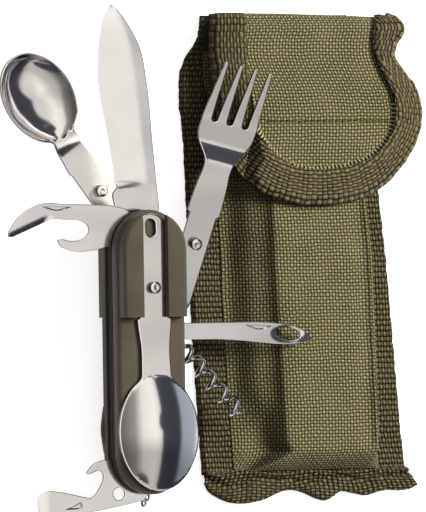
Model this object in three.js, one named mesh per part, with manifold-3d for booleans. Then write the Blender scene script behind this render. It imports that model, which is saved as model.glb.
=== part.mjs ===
// Folding camp cutlery with its belt pouch, laid flat with every tool open.
// Millimetres, +Z up. X runs across the handle and Y along it, towards the knife.
// The handle's middle is at X = 0, Y = 0 while the parts are drawn; the last lines move the
// origin to the middle of the whole set's underside.
import * as THREE from 'three';
import { mergeVertices } from 'three/addons/utils/BufferGeometryUtils.js';
import Module from 'manifold-3d';

const wasm = await Module();
wasm.setup();

// ---------------------------------------------------------------- driving dimensions

// Handle, with heights measured from its mid-plane.
const handleLength = 105;
const handleWidth = 27;
const handleEndRise = 15; // length of each half-elliptical end
const midPlaneHeight = 15.4; // mid-plane above the table
const coverInner = 3.6;
const coverFace = 8.8; // outer face of a cover's lower, recessed part
const blockFace = 13.8; // outer face of the two raised blocks beside the channel
const blockInset = 0.9;
const blockStart = 12.9; // the blocks run from here to the handle's knife end
const channelHalf = 4.8;
const tongueSlotHalf = 6.1;
const tongueSlotTop = 10.7;
const linerThickness = 0.7;
const linerInset = 0.6;
const reliefSide = 5.6; // plates stop here beside the folded corkscrew
const reliefTop = 14.5;

// The three tool layers and the two dividers between them, as [bottom, top].
const rearLayer = [-2.75, -1.15];
const middleLayer = [-0.5, 0.7];
const frontLayer = [1.3, 2.7];
const rearDivider = [-1.0, -0.6];
const frontDivider = [0.8, 1.2];

// Pivot pins and the rivet through the springs.
const pinRadius = 1.5;
const pinHoleRadius = 1.8;
const topPin = [-3, 41.5];
const middlePin = [9.5, 10.2];
const bottomPin = [2.8, -42.5];
const springRivet = [6.2, 22];
const springRivetRadius = 1;

// Sheet utensils, each in its own frame: Y = 0 at the stud, the head towards +Y.
const sheetThickness = 1.3;
const tongueHalf = 5.4;
const tongueEnd = -27.4;
const shoulder = 10.9;
const slotCentre = -22;
const slotHalfWidth = 1.8;
const slotHalfLength = 3.2;
const studRadius = 2.2;
const studShankRadius = 1;
const studHeight = 2.9;
const studGap = 0.3;

// Corkscrew, in its own frame: pivot at the origin, worm along +X.
const wormAngle = -49.5;
const wormAxisHeight = -2.75; // from the handle's mid-plane
const wormRadius = 2.85; // centre line of the wire
const wireRadius = 0.95;
const wormPitch = 6.74;
const wormTurns = 5.2;
const wormStart = 12.6;

// Belt pouch, lying on its back beside the handle.
const tapeWidth = 12.5; // left and bottom
const rightTapeWidth = 9.5;
const tapeThickness = 2.4;
const backPanel = [1.3, 2.3];
const clothThickness = 1.2;
const pouchFront = 11.8; // height of the front panel's outer face
const pouchMouth = 112; // the body's open end
const pouchTop = 125; // where the flap turns over
const flapGap = 1;
const flapThickness = 1.4;

// ---------------------------------------------------------------- solids

function solidOf(geometry) {
  const bare = geometry.clone();
  bare.deleteAttribute('normal');
  bare.deleteAttribute('uv');
  const merged = mergeVertices(bare, 1e-5);
  return new wasm.Manifold(new wasm.Mesh({
    numProp: 3,
    vertProperties: Float32Array.from(merged.attributes.position.array),
    triVerts: Uint32Array.from(merged.index.array),
  }));
}

function geometryOf(solid) {
  const mesh = solid.getMesh();
  const geometry = new THREE.BufferGeometry();
  geometry.setAttribute('position', new THREE.Float32BufferAttribute(mesh.vertProperties, 3));
  geometry.setIndex(new THREE.Uint32BufferAttribute(mesh.triVerts, 1));
  return geometry;
}

function plate(outline, [bottom, top], curveSteps = 6) {
  const geometry = new THREE.ExtrudeGeometry(outline, {
    depth: top - bottom,
    bevelEnabled: false,
    curveSegments: curveSteps,
  });
  geometry.translate(0, 0, bottom);
  return solidOf(geometry);
}

function disc([x, y], radius, [bottom, top], sides = 20) {
  const geometry = new THREE.CylinderGeometry(radius, radius, top - bottom, sides);
  geometry.rotateX(Math.PI / 2);
  geometry.translate(x, y, (bottom + top) / 2);
  return solidOf(geometry);
}

function block([left, right], [near, far], [bottom, top]) {
  const geometry = new THREE.BoxGeometry(right - left, far - near, top - bottom);
  geometry.translate((left + right) / 2, (near + far) / 2, (bottom + top) / 2);
  return solidOf(geometry);
}

// An outline from straight corners and smooth runs: a run of several points is one spline.
function outlineThrough(start, ...runs) {
  const shape = new THREE.Shape();
  shape.moveTo(...start);
  for (const run of runs) {
    if (run.length === 1) shape.lineTo(...run[0]);
    else shape.splineThru(run.map(([x, y]) => new THREE.Vector2(x, y)));
  }
  return shape;
}

// A closed skin over a row of rings. Each ring has an even number of points: the first half
// runs along one face of the section and the second half comes back along the other.
function loft(rings) {
  const count = rings[0].length;
  const positions = rings.flat().flatMap((point) => [point.x, point.y, point.z]);
  const triangles = [];
  const quad = (a, b, c, d) => triangles.push(a, b, c, a, c, d);
  for (let row = 0; row + 1 < rings.length; row += 1) {
    for (let step = 0; step < count; step += 1) {
      const next = (step + 1) % count;
      const here = row * count;
      const there = here + count;
      quad(here + step, here + next, there + next, there + step);
    }
  }
  const last = (rings.length - 1) * count;
  for (let step = 0; step + 1 < count / 2; step += 1) {
    const back = count - 1 - step;
    quad(step, back, back - 1, step + 1);
    quad(last + step, last + step + 1, last + back - 1, last + back);
  }
  if (signedVolume(positions, triangles) < 0) triangles.reverse();
  const geometry = new THREE.BufferGeometry();
  geometry.setAttribute('position', new THREE.Float32BufferAttribute(positions, 3));
  geometry.setIndex(triangles);
  return solidOf(geometry);
}

function signedVolume(positions, triangles) {
  const corner = (index) => new THREE.Vector3().fromArray(positions, index * 3);
  let volume = 0;
  for (let first = 0; first < triangles.length; first += 3) {
    const [a, b, c] = triangles.slice(first, first + 3).map(corner);
    volume += a.dot(b.cross(c)) / 6;
  }
  return volume;
}

function smoothStep(value, start, end) {
  const part = THREE.MathUtils.clamp((value - start) / (end - start), 0, 1);
  return part * part * (3 - 2 * part);
}

// ---------------------------------------------------------------- materials and the scene

const finishes = {
  plastic: { color: 0x625a4c, roughness: 0.55, metalness: 0 },
  steel: { color: 0xd6d2cc, roughness: 0.25, metalness: 1 },
  liner: { color: 0xb4b2ae, roughness: 0.4, metalness: 1 },
  fabric: { color: 0x77704d, roughness: 0.95, metalness: 0 },
  tape: { color: 0x5f5540, roughness: 0.95, metalness: 0 },
};

function piece(parent, name, solid, finish) {
  const mesh = new THREE.Mesh(geometryOf(solid), new THREE.MeshStandardMaterial(finishes[finish]));
  mesh.name = name;
  parent.add(mesh);
  return mesh;
}

const cutlerySet = new THREE.Group();
const tool = new THREE.Group();
tool.position.z = midPlaneHeight;
cutlerySet.add(tool);

// ---------------------------------------------------------------- handle

function handleOutline(inset) {
  const half = handleWidth / 2 - inset;
  const rise = handleEndRise - inset;
  const straight = handleLength / 2 - handleEndRise;
  const shape = new THREE.Shape();
  shape.moveTo(half, -straight);
  shape.lineTo(half, straight);
  shape.absellipse(0, straight, half, rise, 0, Math.PI, false, 0);
  shape.lineTo(-half, -straight);
  shape.absellipse(0, -straight, half, rise, Math.PI, 2 * Math.PI, false, 0);
  return shape;
}

const acrossHandle = [-handleWidth, handleWidth];
const alongHandle = [-handleLength, handleLength];

// side is 1 for the front cover and -1 for the rear one.
function coverSolid(side) {
  const span = (low, high) => (side > 0 ? [low, high] : [-high, -low]);
  const blocks = plate(handleOutline(blockInset), span(coverInner + 1, blockFace), 10)
    .intersect(block(acrossHandle, [blockStart, handleLength], span(0, blockFace + 1)));
  return plate(handleOutline(0), span(coverInner, coverFace), 10)
    .add(blocks)
    .subtract(block([-channelHalf, channelHalf], alongHandle, span(coverFace, blockFace + 1)))
    .subtract(block([-tongueSlotHalf, tongueSlotHalf], alongHandle, span(coverFace, tongueSlotTop)));
}

// Low swelling on both long sides of the rear cover.
function rearSwell() {
  const near = -37.2;
  const far = -19.8;
  const side = handleWidth / 2 - 0.3;
  const reach = handleWidth / 2 + 2;
  const shape = new THREE.Shape();
  shape.moveTo(side, near);
  shape.quadraticCurveTo(reach, (near + far) / 2, side, far);
  shape.lineTo(-side, far);
  shape.quadraticCurveTo(-reach, (near + far) / 2, -side, near);
  shape.closePath();
  return plate(shape, [-9.4, -6.6]);
}

// Room in the rear cover for the folded worm, its hub and the end of its pin.
function wormRelief() {
  const mouth = -coverInner + 0.5;
  return block([reliefSide - 0.2, handleWidth], [-42, middlePin[1]], [-7, mouth])
    .add(disc(middlePin, 4.3, [-4.35, mouth]))
    .add(disc(middlePin, pinHoleRadius, [-8, mouth]));
}

function linerSolid(span, isCut, pins) {
  let liner = plate(handleOutline(linerInset), span, 10);
  if (isCut) {
    liner = liner.subtract(block([reliefSide, handleWidth], [-handleLength, reliefTop], [-9, 9]));
  }
  for (const pin of pins) {
    liner = liner.subtract(disc(pin, pinHoleRadius, [-9, 9], 16));
  }
  return liner.subtract(disc(springRivet, springRivetRadius + 0.3, [-9, 9], 12));
}

// The lug on the rear liner that carries the lanyard ring.
const lugHole = [0.8, -53.6];
const lugHoleRadius = 1.25;

function lanyardLug(span) {
  const half = 1.9;
  const shape = new THREE.Shape();
  shape.moveTo(lugHole[0] - half, -50);
  shape.lineTo(lugHole[0] - half, lugHole[1]);
  shape.absarc(lugHole[0], lugHole[1], half, Math.PI, 2 * Math.PI, false);
  shape.lineTo(lugHole[0] + half, -50);
  return plate(shape, span);
}

// A flat back spring: a bar with an eye for the spring rivet, and an arm towards the lower end.
function springSolid(layer, armSides) {
  return block([3, 5], [12, 35], layer)
    .add(block(armSides, [-33, 13], layer))
    .add(disc(springRivet, 2.4, layer, 16))
    .subtract(disc(springRivet, springRivetRadius + 0.3, [-9, 9], 12));
}

function addHandle(parent) {
  const linerFace = coverInner - linerThickness;
  const rearLiner = [-coverInner, -linerFace];
  const frontLiner = [linerFace, coverInner];
  const pins = [topPin, bottomPin];
  piece(parent, 'front_cover', coverSolid(1), 'plastic');
  piece(parent, 'rear_cover', coverSolid(-1).add(rearSwell()).subtract(wormRelief()), 'plastic');
  piece(parent, 'front_liner', linerSolid(frontLiner, false, [...pins, middlePin]), 'liner');
  const rearPlate = linerSolid(rearLiner, true, pins).add(lanyardLug(rearLiner));
  const lugBore = disc(lugHole, lugHoleRadius, [-9, 9], 16);
  piece(parent, 'rear_liner', rearPlate.subtract(lugBore), 'liner');
  piece(parent, 'front_divider', linerSolid(frontDivider, true, pins), 'liner');
  piece(parent, 'rear_divider', linerSolid(rearDivider, true, pins), 'liner');
  piece(parent, 'knife_spring', springSolid(rearLayer, [3, 5]), 'steel');
  piece(parent, 'bottle_opener_spring', springSolid(middleLayer, [4.4, 5.5]), 'steel');
  piece(parent, 'can_opener_spring', springSolid(frontLayer, [1.5, 3.6]), 'steel');
  piece(parent, 'top_pin', disc(topPin, pinRadius, [-coverInner, coverInner]), 'steel');
  piece(parent, 'bottom_pin', disc(bottomPin, pinRadius, [-coverInner, coverInner]), 'steel');
  piece(parent, 'middle_pin', disc(middlePin, pinRadius, [-7.9, coverInner]), 'steel');
  const rivet = disc(springRivet, springRivetRadius, [-coverInner, coverInner], 12);
  piece(parent, 'spring_rivet', rivet, 'steel');
}

// ---------------------------------------------------------------- folding tools

const tangRadius = 5.6;

// All tool outlines are drawn where the tool stands when it is open.
function knifeSolid() {
  const [x, y] = topPin;
  const shape = outlineThrough(
    [7.6, 52.6],
    [[2.2, 43.6]],
  );
  shape.absarc(x, y, tangRadius, THREE.MathUtils.degToRad(22), THREE.MathUtils.degToRad(162), true);
  shape.lineTo(-9.8, 54.1);
  shape.splineThru([[-10.5, 58.6], [-8.9, 61.3], [-9.8, 62.5]].map((p) => new THREE.Vector2(...p)));
  const edge = [[-11.2, 74], [-12.6, 82.5], [-14.1, 90.4], [-15.5, 99.5], [-15.6, 107], [-14.6, 118.2],
    [-12.6, 125], [-10.4, 128.3]];
  shape.splineThru(edge.map((p) => new THREE.Vector2(...p)));
  const spine = [[-9.6, 128.3], [-6, 124.4], [-2.2, 118.8], [0.8, 112.7], [3.3, 100], [5.3, 77],
    [7.6, 52.6]];
  shape.splineThru(spine.map((p) => new THREE.Vector2(...p)));
  return plate(shape, rearLayer, 2).subtract(disc(topPin, pinHoleRadius, [-9, 9], 16));
}

function canOpenerSolid() {
  const [x, y] = topPin;
  const shape = outlineThrough(
    [-53.5, 43.2],
    [[-53.4, 44.6], [-51.8, 47.4], [-49.2, 50.8], [-45.3, 53.5], [-40.7, 55.3]],
    [[-21.8, 54.7], [-11.4, 54], [-7.1, 52.9]],
    [[-1, 46.8]],
  );
  shape.absarc(x, y, tangRadius, THREE.MathUtils.degToRad(69), THREE.MathUtils.degToRad(215), true);
  shape.lineTo(-14, 39.1);
  const hook = [[-20.5, 37.8], [-25.7, 37.4], [-30.3, 38.2], [-33.5, 40.2], [-34.2, 41.9]];
  shape.splineThru(hook.map((p) => new THREE.Vector2(...p)));
  const throat = [[-32.6, 42.1], [-29.6, 41.5], [-25.7, 41.7], [-22.8, 43.2], [-21.7, 45.6],
    [-23.1, 47.9], [-25.7, 48.9]];
  shape.splineThru(throat.map((p) => new THREE.Vector2(...p)));
  shape.lineTo(-37.1, 49.2);
  shape.lineTo(-40.7, 47.7);
  shape.lineTo(-51.8, 43.1);
  shape.closePath();
  return plate(shape, frontLayer, 2).subtract(disc(topPin, pinHoleRadius, [-9, 9], 16));
}

const openerEye = [-10.9, -52];
const openerEyeRadius = 2.3;

function bottleOpenerSolid() {
  const [x, y] = bottomPin;
  const shape = outlineThrough(
    [-42.8, -57.5],
    [[-42.6, -52.4]],
    [[-40.7, -50.9], [-38, -50.1], [-30.4, -51.5], [-24.3, -52.9], [-22, -53.2], [-20.3, -52.2],
      [-18.5, -49.7], [-17, -46.5], [-17.2, -44.2], [-18.9, -43.3], [-20.8, -44], [-22.7, -44.6]],
    [[-23.5, -44.2]],
    [[-22.3, -42.4], [-20.1, -40.5], [-16.6, -39.5], [-12.8, -39.6]],
    [[-1, -39.2]],
  );
  shape.absarc(x, y, 4.2, THREE.MathUtils.degToRad(140), THREE.MathUtils.degToRad(-60), true);
  shape.lineTo(-0.9, -54.7);
  const heel = [[-7.4, -56.1], [-15.1, -57.5], [-24.3, -58.8], [-41.5, -58.5], [-42.8, -57.5]];
  shape.splineThru(heel.map((p) => new THREE.Vector2(...p)));
  return plate(shape, middleLayer, 2)
    .subtract(disc(bottomPin, pinHoleRadius, [-9, 9], 16))
    .subtract(disc(openerEye, openerEyeRadius, [-9, 9], 20));
}

const awlEye = [56.7, 5.9];
const awlTangRadius = 3.9;

function awlSolid() {
  const [x, y] = middlePin;
  const shape = outlineThrough(
    [66.6, 3.5],
    [[65.1, 5.5], [61.3, 7.6], [57.5, 9], [53.7, 9.7], [49.8, 10.1], [44.1, 10.5]],
    [[16, 10.5]],
  );
  shape.absarc(x, y, awlTangRadius, THREE.MathUtils.degToRad(25), THREE.MathUtils.degToRad(-60), false);
  shape.lineTo(16.2, 4.3);
  shape.lineTo(30.7, 4.1);
  const belly = [[38.4, 3.5], [46, 2.7], [51.7, 2.1], [57.5, 1.9], [63.2, 2.6], [66.6, 3.5]];
  shape.splineThru(belly.map((p) => new THREE.Vector2(...p)));
  const eye = new THREE.Shape();
  eye.absellipse(...awlEye, 5.1, 2.4, 0, 2 * Math.PI, false, THREE.MathUtils.degToRad(-12));
  return plate(shape, frontLayer, 2)
    .subtract(disc(middlePin, pinHoleRadius, [-9, 9], 16))
    .subtract(plate(eye, [-9, 9], 8));
}

// Centre line of the corkscrew's wire: a straight shank, then a helix that ends in a point.
function wormPoint(turn) {
  const grown = smoothStep(turn, -0.5, 0.35);
  const radius = wormRadius * grown;
  const angle = 2 * Math.PI * turn;
  return new THREE.Vector3(
    wormStart + wormPitch * turn,
    radius * Math.cos(angle),
    wormAxisHeight + radius * Math.sin(angle),
  );
}

function wireRings() {
  const sides = 8;
  const stepsPerTurn = 14;
  const firstTurn = (2.6 - wormStart) / wormPitch;
  const steps = Math.round((wormTurns - firstTurn) * stepsPerTurn);
  const rings = [];
  for (let step = 0; step <= steps; step += 1) {
    const turn = firstTurn + (wormTurns - firstTurn) * (step / steps);
    const centre = wormPoint(turn);
    const along = wormPoint(turn + 0.01).sub(wormPoint(turn - 0.01)).normalize();
    const outward = new THREE.Vector3(0, Math.cos(2 * Math.PI * turn), Math.sin(2 * Math.PI * turn));
    const across = new THREE.Vector3().crossVectors(along, outward).normalize();
    const lift = new THREE.Vector3().crossVectors(across, along);
    const thickness = wireRadius * Math.min(1, 0.12 + (wormTurns - turn) / 0.7);
    const ring = [];
    for (let side = 0; side < sides; side += 1) {
      const angle = (2 * Math.PI * side) / sides;
      ring.push(centre.clone()
        .addScaledVector(lift, thickness * Math.cos(angle))
        .addScaledVector(across, thickness * Math.sin(angle)));
    }
    rings.push(ring);
  }
  return rings;
}

function corkscrewSolid() {
  const hub = disc([0, 0], 3.6, [-3.95, 1.1], 24);
  return hub.add(loft(wireRings())).subtract(disc([0, 0], pinHoleRadius, [-9, 9], 16));
}

// The ring hangs from the lug, tipped down towards the table.
const ringRadius = 2;
const ringWire = 0.42;
const ringTip = 36;

function addLanyardRing(parent) {
  const linerMiddle = -coverInner + linerThickness / 2;
  const hanging = new THREE.Group();
  hanging.position.set(...lugHole, linerMiddle);
  hanging.rotation.x = THREE.MathUtils.degToRad(ringTip);
  parent.add(hanging);
  const geometry = new THREE.TorusGeometry(ringRadius, ringWire, 8, 28);
  geometry.rotateY(Math.PI / 2);
  geometry.translate(0, -ringRadius, 0);
  piece(hanging, 'lanyard_ring', solidOf(geometry), 'steel');
}

function addFoldingTools(parent) {
  piece(parent, 'knife_blade', knifeSolid(), 'steel');
  piece(parent, 'can_opener', canOpenerSolid(), 'steel');
  piece(parent, 'bottle_opener', bottleOpenerSolid(), 'steel');
  piece(parent, 'awl', awlSolid(), 'steel');
  const corkscrew = piece(parent, 'corkscrew', corkscrewSolid(), 'steel');
  corkscrew.position.set(...middlePin, 0);
  corkscrew.rotation.z = THREE.MathUtils.degToRad(wormAngle);
  addLanyardRing(parent);
}

// ---------------------------------------------------------------- sheet utensils

// One cross-section of a sheet utensil: height is its underside beside the centre line, and
// crown how far the middle stands above (or, negative, below) the edges.
function sheetRing(along, half, height, crown) {
  const across = 6;
  const face = (lift) => Array.from({ length: across + 1 }, (_, step) => {
    const share = (2 * step) / across - 1;
    return new THREE.Vector3(half * share, along, height + lift + crown * (1 - share * share));
  });
  return [...face(sheetThickness), ...face(0).reverse()];
}

function tongueRings(shankHalf) {
  const rounded = [12, 35, 60, 90].map((degrees) => {
    const angle = THREE.MathUtils.degToRad(degrees);
    const along = tongueEnd + tongueHalf * (1 - Math.cos(angle));
    return sheetRing(along, tongueHalf * Math.sin(angle), 0, 0);
  });
  return [...rounded, sheetRing(shoulder, tongueHalf, 0, 0), sheetRing(shoulder + 0.5, shankHalf, 0, 0)];
}

// The bowl's outline is an ellipse that starts where it is as wide as the neck.
function spoonSolid({ shankHalf, neckHalf, bowlHalf, bowlMiddle, bowlReach, crown, rise }) {
  const neckShare = -Math.sqrt(1 - (neckHalf / bowlHalf) ** 2);
  const neck = bowlMiddle + bowlReach * neckShare;
  const rings = tongueRings(shankHalf);
  rings.push(sheetRing(neck - 8, (shankHalf + neckHalf) / 2, rise * 0.15, 0));
  const firstAngle = Math.acos(-neckShare);
  const steps = 11;
  for (let step = 0; step <= steps; step += 1) {
    const angle = firstAngle + (Math.PI * 0.985 - firstAngle) * (step / steps);
    const share = -Math.cos(angle);
    const lifted = rise * smoothStep(share, -1.3, -0.6);
    const depth = crown * (1 - share * share);
    rings.push(sheetRing(bowlMiddle + bowlReach * share, bowlHalf * Math.sin(angle), lifted, depth));
  }
  return withTongueCuts(loft(rings));
}

function withTongueCuts(sheet) {
  const reach = slotHalfLength - slotHalfWidth;
  const slot = new THREE.Shape();
  slot.moveTo(slotHalfWidth, slotCentre - reach);
  slot.lineTo(slotHalfWidth, slotCentre + reach);
  slot.absarc(0, slotCentre + reach, slotHalfWidth, 0, Math.PI, false);
  slot.lineTo(-slotHalfWidth, slotCentre - reach);
  slot.absarc(0, slotCentre - reach, slotHalfWidth, Math.PI, 2 * Math.PI, false);
  return sheet
    .subtract(plate(slot, [-5, 5]))
    .subtract(disc([0, 0], studShankRadius + studGap, [-5, 5], 16));
}

// A headed stud whose shank sits in the tongue, flush with its underside.
function studSolid() {
  const seat = sheetThickness + 0.1;
  return disc([0, 0], studShankRadius, [0, seat + 0.5], 16)
    .add(disc([0, 0], studRadius, [seat, sheetThickness + studHeight], 20));
}

// Underside of the fork along its length: a shallow dip at the root, then a slow rise.
function forkHeight(along) {
  return -1.6 * smoothStep(along, 29, 39) + 2.2 * smoothStep(along, 47, 72);
}

function forkSolid() {
  const palmHalf = 11.2;
  const neckHalf = 5.4;
  const neck = 31;
  const palm = 43;
  const palmEnd = 45;
  const tips = 68.5;
  const rings = tongueRings(6.5);
  rings.push(sheetRing(neck - 4, neckHalf + 0.3, forkHeight(neck - 4), 0));
  for (const share of [0, 0.25, 0.5, 0.75, 1]) {
    const along = neck + (palm - neck) * share;
    const half = neckHalf + (palmHalf - neckHalf) * smoothStep(share, -0.1, 1);
    rings.push(sheetRing(along, half, forkHeight(along), 0));
  }
  rings.push(sheetRing(palmEnd, palmHalf, forkHeight(palmEnd), 0));
  let fork = loft(rings);
  const tinePitch = 6.2;
  for (let tine = 0; tine < 4; tine += 1) {
    fork = fork.add(loft(tineRings((tine - 1.5) * tinePitch, palmEnd - 3, tips)));
  }
  return withTongueCuts(fork);
}

function tineRings(offset, root, tip) {
  return [0, 0.25, 0.5, 0.75, 1].map((share) => {
    const along = root + (tip - root) * share;
    const half = 1.9 - 1.25 * share;
    const middle = offset * (1 - 0.04 * share);
    const bottom = forkHeight(along);
    const top = bottom + sheetThickness;
    return [[-half, top], [half, top], [half, bottom], [-half, bottom]]
      .map(([x, z]) => new THREE.Vector3(middle + x, along, z));
  });
}

function addUtensil(parent, name, solid, { position, heading, pitch }) {
  const placed = new THREE.Group();
  placed.position.set(...position);
  placed.rotation.order = 'ZXY';
  placed.rotation.z = THREE.MathUtils.degToRad(heading);
  placed.rotation.x = THREE.MathUtils.degToRad(pitch);
  parent.add(placed);
  piece(placed, name, solid, 'steel');
  piece(placed, `${name}_stud`, studSolid(), 'steel');
}

function addUtensils(parent) {
  const largeSpoon = spoonSolid({
    shankHalf: 6.3, neckHalf: 6, bowlHalf: 15.8, bowlMiddle: 53.5, bowlReach: 21.5, crown: 6.4, rise: 0,
  });
  const smallSpoon = spoonSolid({
    shankHalf: 5.9, neckHalf: 4.8, bowlHalf: 13.5, bowlMiddle: 42.8, bowlReach: 18.2, crown: -4.7, rise: 4.8,
  });
  // The large spoon is stored in the front channel, head towards the handle's lower end.
  addUtensil(parent, 'large_spoon', largeSpoon, {
    position: [0.2, 23.8, midPlaneHeight + coverFace + 0.15], heading: 181.5, pitch: 0,
  });
  // The small spoon lies on the table with its tongue under the handle's knife end.
  addUtensil(parent, 'small_spoon', smallSpoon, {
    position: [-10.8, 59.8, 0.1], heading: 36.2, pitch: 0,
  });
  // The fork leans on the pouch.
  addUtensil(parent, 'fork', forkSolid(), {
    position: [24.0, 40.1, 6.8], heading: -14.5, pitch: 12.5,
  });
}

// ---------------------------------------------------------------- belt pouch

// Outer edges of the pouch's base and the folds of its raised front panel, as X at a given Y.
const leftEdge = [[-57, 29.5], [-46, 28.1], [7, 24.9], [73, 22.9], [90, 21.7], [106, 25.8], [125, 33]];
const rightEdge = [[-57, 115], [-46, 111.5], [-32, 109.1], [34, 104.1], [60, 101.3], [125, 97]];
const leftFold = [[-57, 58.5], [-37.5, 57.9], [35.5, 54.5], [125, 52]];
const rightFold = [[-57, 98], [-32, 95.5], [34, 93.2], [60, 90.8], [125, 85.5]];
const bottomEdge = -57;
const bottomFold = -37.5;

function along(edge, y) {
  const last = edge.length - 1;
  const after = Math.min(Math.max(edge.findIndex(([limit]) => limit >= y), 1), last);
  const [nearY, nearX] = edge[after - 1];
  const [farY, farX] = edge[after];
  return THREE.MathUtils.mapLinear(THREE.MathUtils.clamp(y, nearY, farY), nearY, farY, nearX, farX);
}

function stripBetween(first, second, stations, span) {
  const shape = new THREE.Shape();
  const there = stations.map((y) => [along(first, y), y]);
  const back = stations.map((y) => [along(second, y), y]).reverse();
  [...there, ...back].forEach(([x, y], index) => (index ? shape.lineTo(x, y) : shape.moveTo(x, y)));
  return plate(shape, span);
}

function shifted(edge, distance) {
  return edge.map(([y, x]) => [y, x + distance]);
}

// A tray-shaped skin over the base: side walls rise to the folds of the front panel.
function trayRings(inset, stations, floor, top) {
  return stations.map((y) => {
    const rise = THREE.MathUtils.clamp((y - bottomEdge - tapeWidth) / (bottomFold - bottomEdge - tapeWidth), 0, 1);
    const height = Math.max(floor + 0.5, floor + (top - floor) * rise);
    const left = along(leftEdge, y) + tapeWidth + inset;
    const right = along(rightEdge, y) - rightTapeWidth - inset;
    const row = [
      [left, floor + 0.25],
      [along(leftFold, y) + inset, height],
      [along(rightFold, y) - inset, height],
      [right, floor + 0.25],
      [right, floor],
      [along(rightFold, y) - inset, floor],
      [along(leftFold, y) + inset, floor],
      [left, floor],
    ];
    return row.map(([x, z]) => new THREE.Vector3(x, y, z));
  });
}

function pouchBodySolid() {
  const floor = backPanel[1] + 0.2;
  const lowEnd = bottomEdge + tapeWidth;
  const stations = [lowEnd + 0.3, bottomFold, -20, 23, 60, pouchMouth];
  const hollowStations = [lowEnd + 3, bottomFold + 0.5, -20, 23, 60, pouchMouth + 2];
  const outer = loft(trayRings(0.3, stations, floor, pouchFront));
  const hollow = loft(trayRings(1.8, hollowStations, floor - 1, pouchFront - clothThickness));
  return outer.subtract(hollow);
}

// The flap ends in a rounded tongue, whose middle drifts left towards its lowest point.
const flapMiddle = 72.5;
const flapHalf = 41.5;
const flapWidest = 86;
const flapTongue = 55;
const flapSag = 3.8; // at flapReach beyond the body's folds
const flapReach = 22;
const flapRight = [[86, 114], [97, 112], [110, 103], [119, 106], [125, 98]];

function flapSides(y) {
  if (y > flapWidest) return [flapMiddle - flapHalf, along(flapRight, y)];
  const share = (flapWidest - y) / (flapWidest - flapTongue);
  const half = flapHalf * Math.sqrt(Math.max(0, 1 - share * share));
  const centre = flapMiddle - 6 * share;
  return [centre - half, centre + half];
}

// One cross-section of the flap, which lies on the body and sags a little beyond its folds.
// share is how much of that height it keeps, which falls where it turns over at the top.
function flapRing(y, share) {
  const across = 12;
  const [left, right] = flapSides(y);
  const face = (lift) => Array.from({ length: across + 1 }, (_, step) => {
    const x = left + ((right - left) * step) / across;
    const beyond = Math.max(0, along(leftFold, y) - x, x - along(rightFold, y));
    const height = pouchFront + flapGap - flapSag * (beyond / flapReach) ** 2;
    return new THREE.Vector3(x, y, height * share + lift);
  });
  return [...face(flapThickness), ...face(0).reverse()];
}

function flapSolid() {
  const stations = [55.4, 57.5, 62, 70, 79, 88, 97, 110, 119];
  const rings = stations.map((y) => flapRing(y, 1));
  rings.push(flapRing(pouchTop - 1.5, 0.85), flapRing(pouchTop, 0.55));
  return loft(rings);
}

function addPouch(parent) {
  const stations = [bottomEdge + tapeWidth + 0.3, -32, 7, 34, 60, 73, 90, 106, pouchTop];
  const innerLeft = shifted(leftEdge, tapeWidth);
  const innerRight = shifted(rightEdge, -rightTapeWidth);
  const tape = [0, tapeThickness];
  piece(parent, 'pouch_back_panel',
    stripBetween(shifted(innerLeft, 0.3), shifted(innerRight, -0.3), stations, backPanel), 'fabric');
  piece(parent, 'pouch_body', pouchBodySolid(), 'fabric');
  piece(parent, 'pouch_flap', flapSolid(), 'fabric');
  piece(parent, 'left_binding', stripBetween(leftEdge, innerLeft, stations, tape), 'tape');
  piece(parent, 'right_binding', stripBetween(innerRight, rightEdge, stations, tape), 'tape');
  const hem = [bottomEdge, bottomEdge + tapeWidth];
  piece(parent, 'bottom_binding', stripBetween(leftEdge, rightEdge, hem, tape), 'tape');
  const patch = [[56, 86], [66, 84]];
  const loopPatch = [pouchFront + 0.05, pouchFront + 0.45];
  const hookPatch = [pouchFront + 0.5, pouchFront + 0.95];
  piece(parent, 'loop_patch', block(...patch, loopPatch), 'tape');
  piece(parent, 'hook_patch', block(...patch, hookPatch), 'tape');
  piece(parent, 'belt_loop', block([52, 84], [-10, 88], [0, backPanel[0] - 0.1]), 'tape');
}

// ---------------------------------------------------------------- the whole set

addHandle(tool);
addFoldingTools(tool);
addUtensils(cutlerySet);
addPouch(cutlerySet);

cutlerySet.updateMatrixWorld(true);
const extent = new THREE.Box3().setFromObject(cutlerySet, true);
const middle = extent.getCenter(new THREE.Vector3());
cutlerySet.position.set(-middle.x, -middle.y, -extent.min.z);

export default cutlerySet;
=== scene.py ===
"""Looks for the folding camp cutlery and its belt pouch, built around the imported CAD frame.

Shapes are drawn in millimetres. Tool shapes share the CAD's own drawing frame: the handle's
middle is at X = 0, Y = 0 on its mid-plane. Pouch heights are measured from the table.
"""
import math

import bmesh
import bpy
from mathutils import Matrix, Vector, noise
from mathutils.geometry import delaunay_2d_cdt


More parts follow.
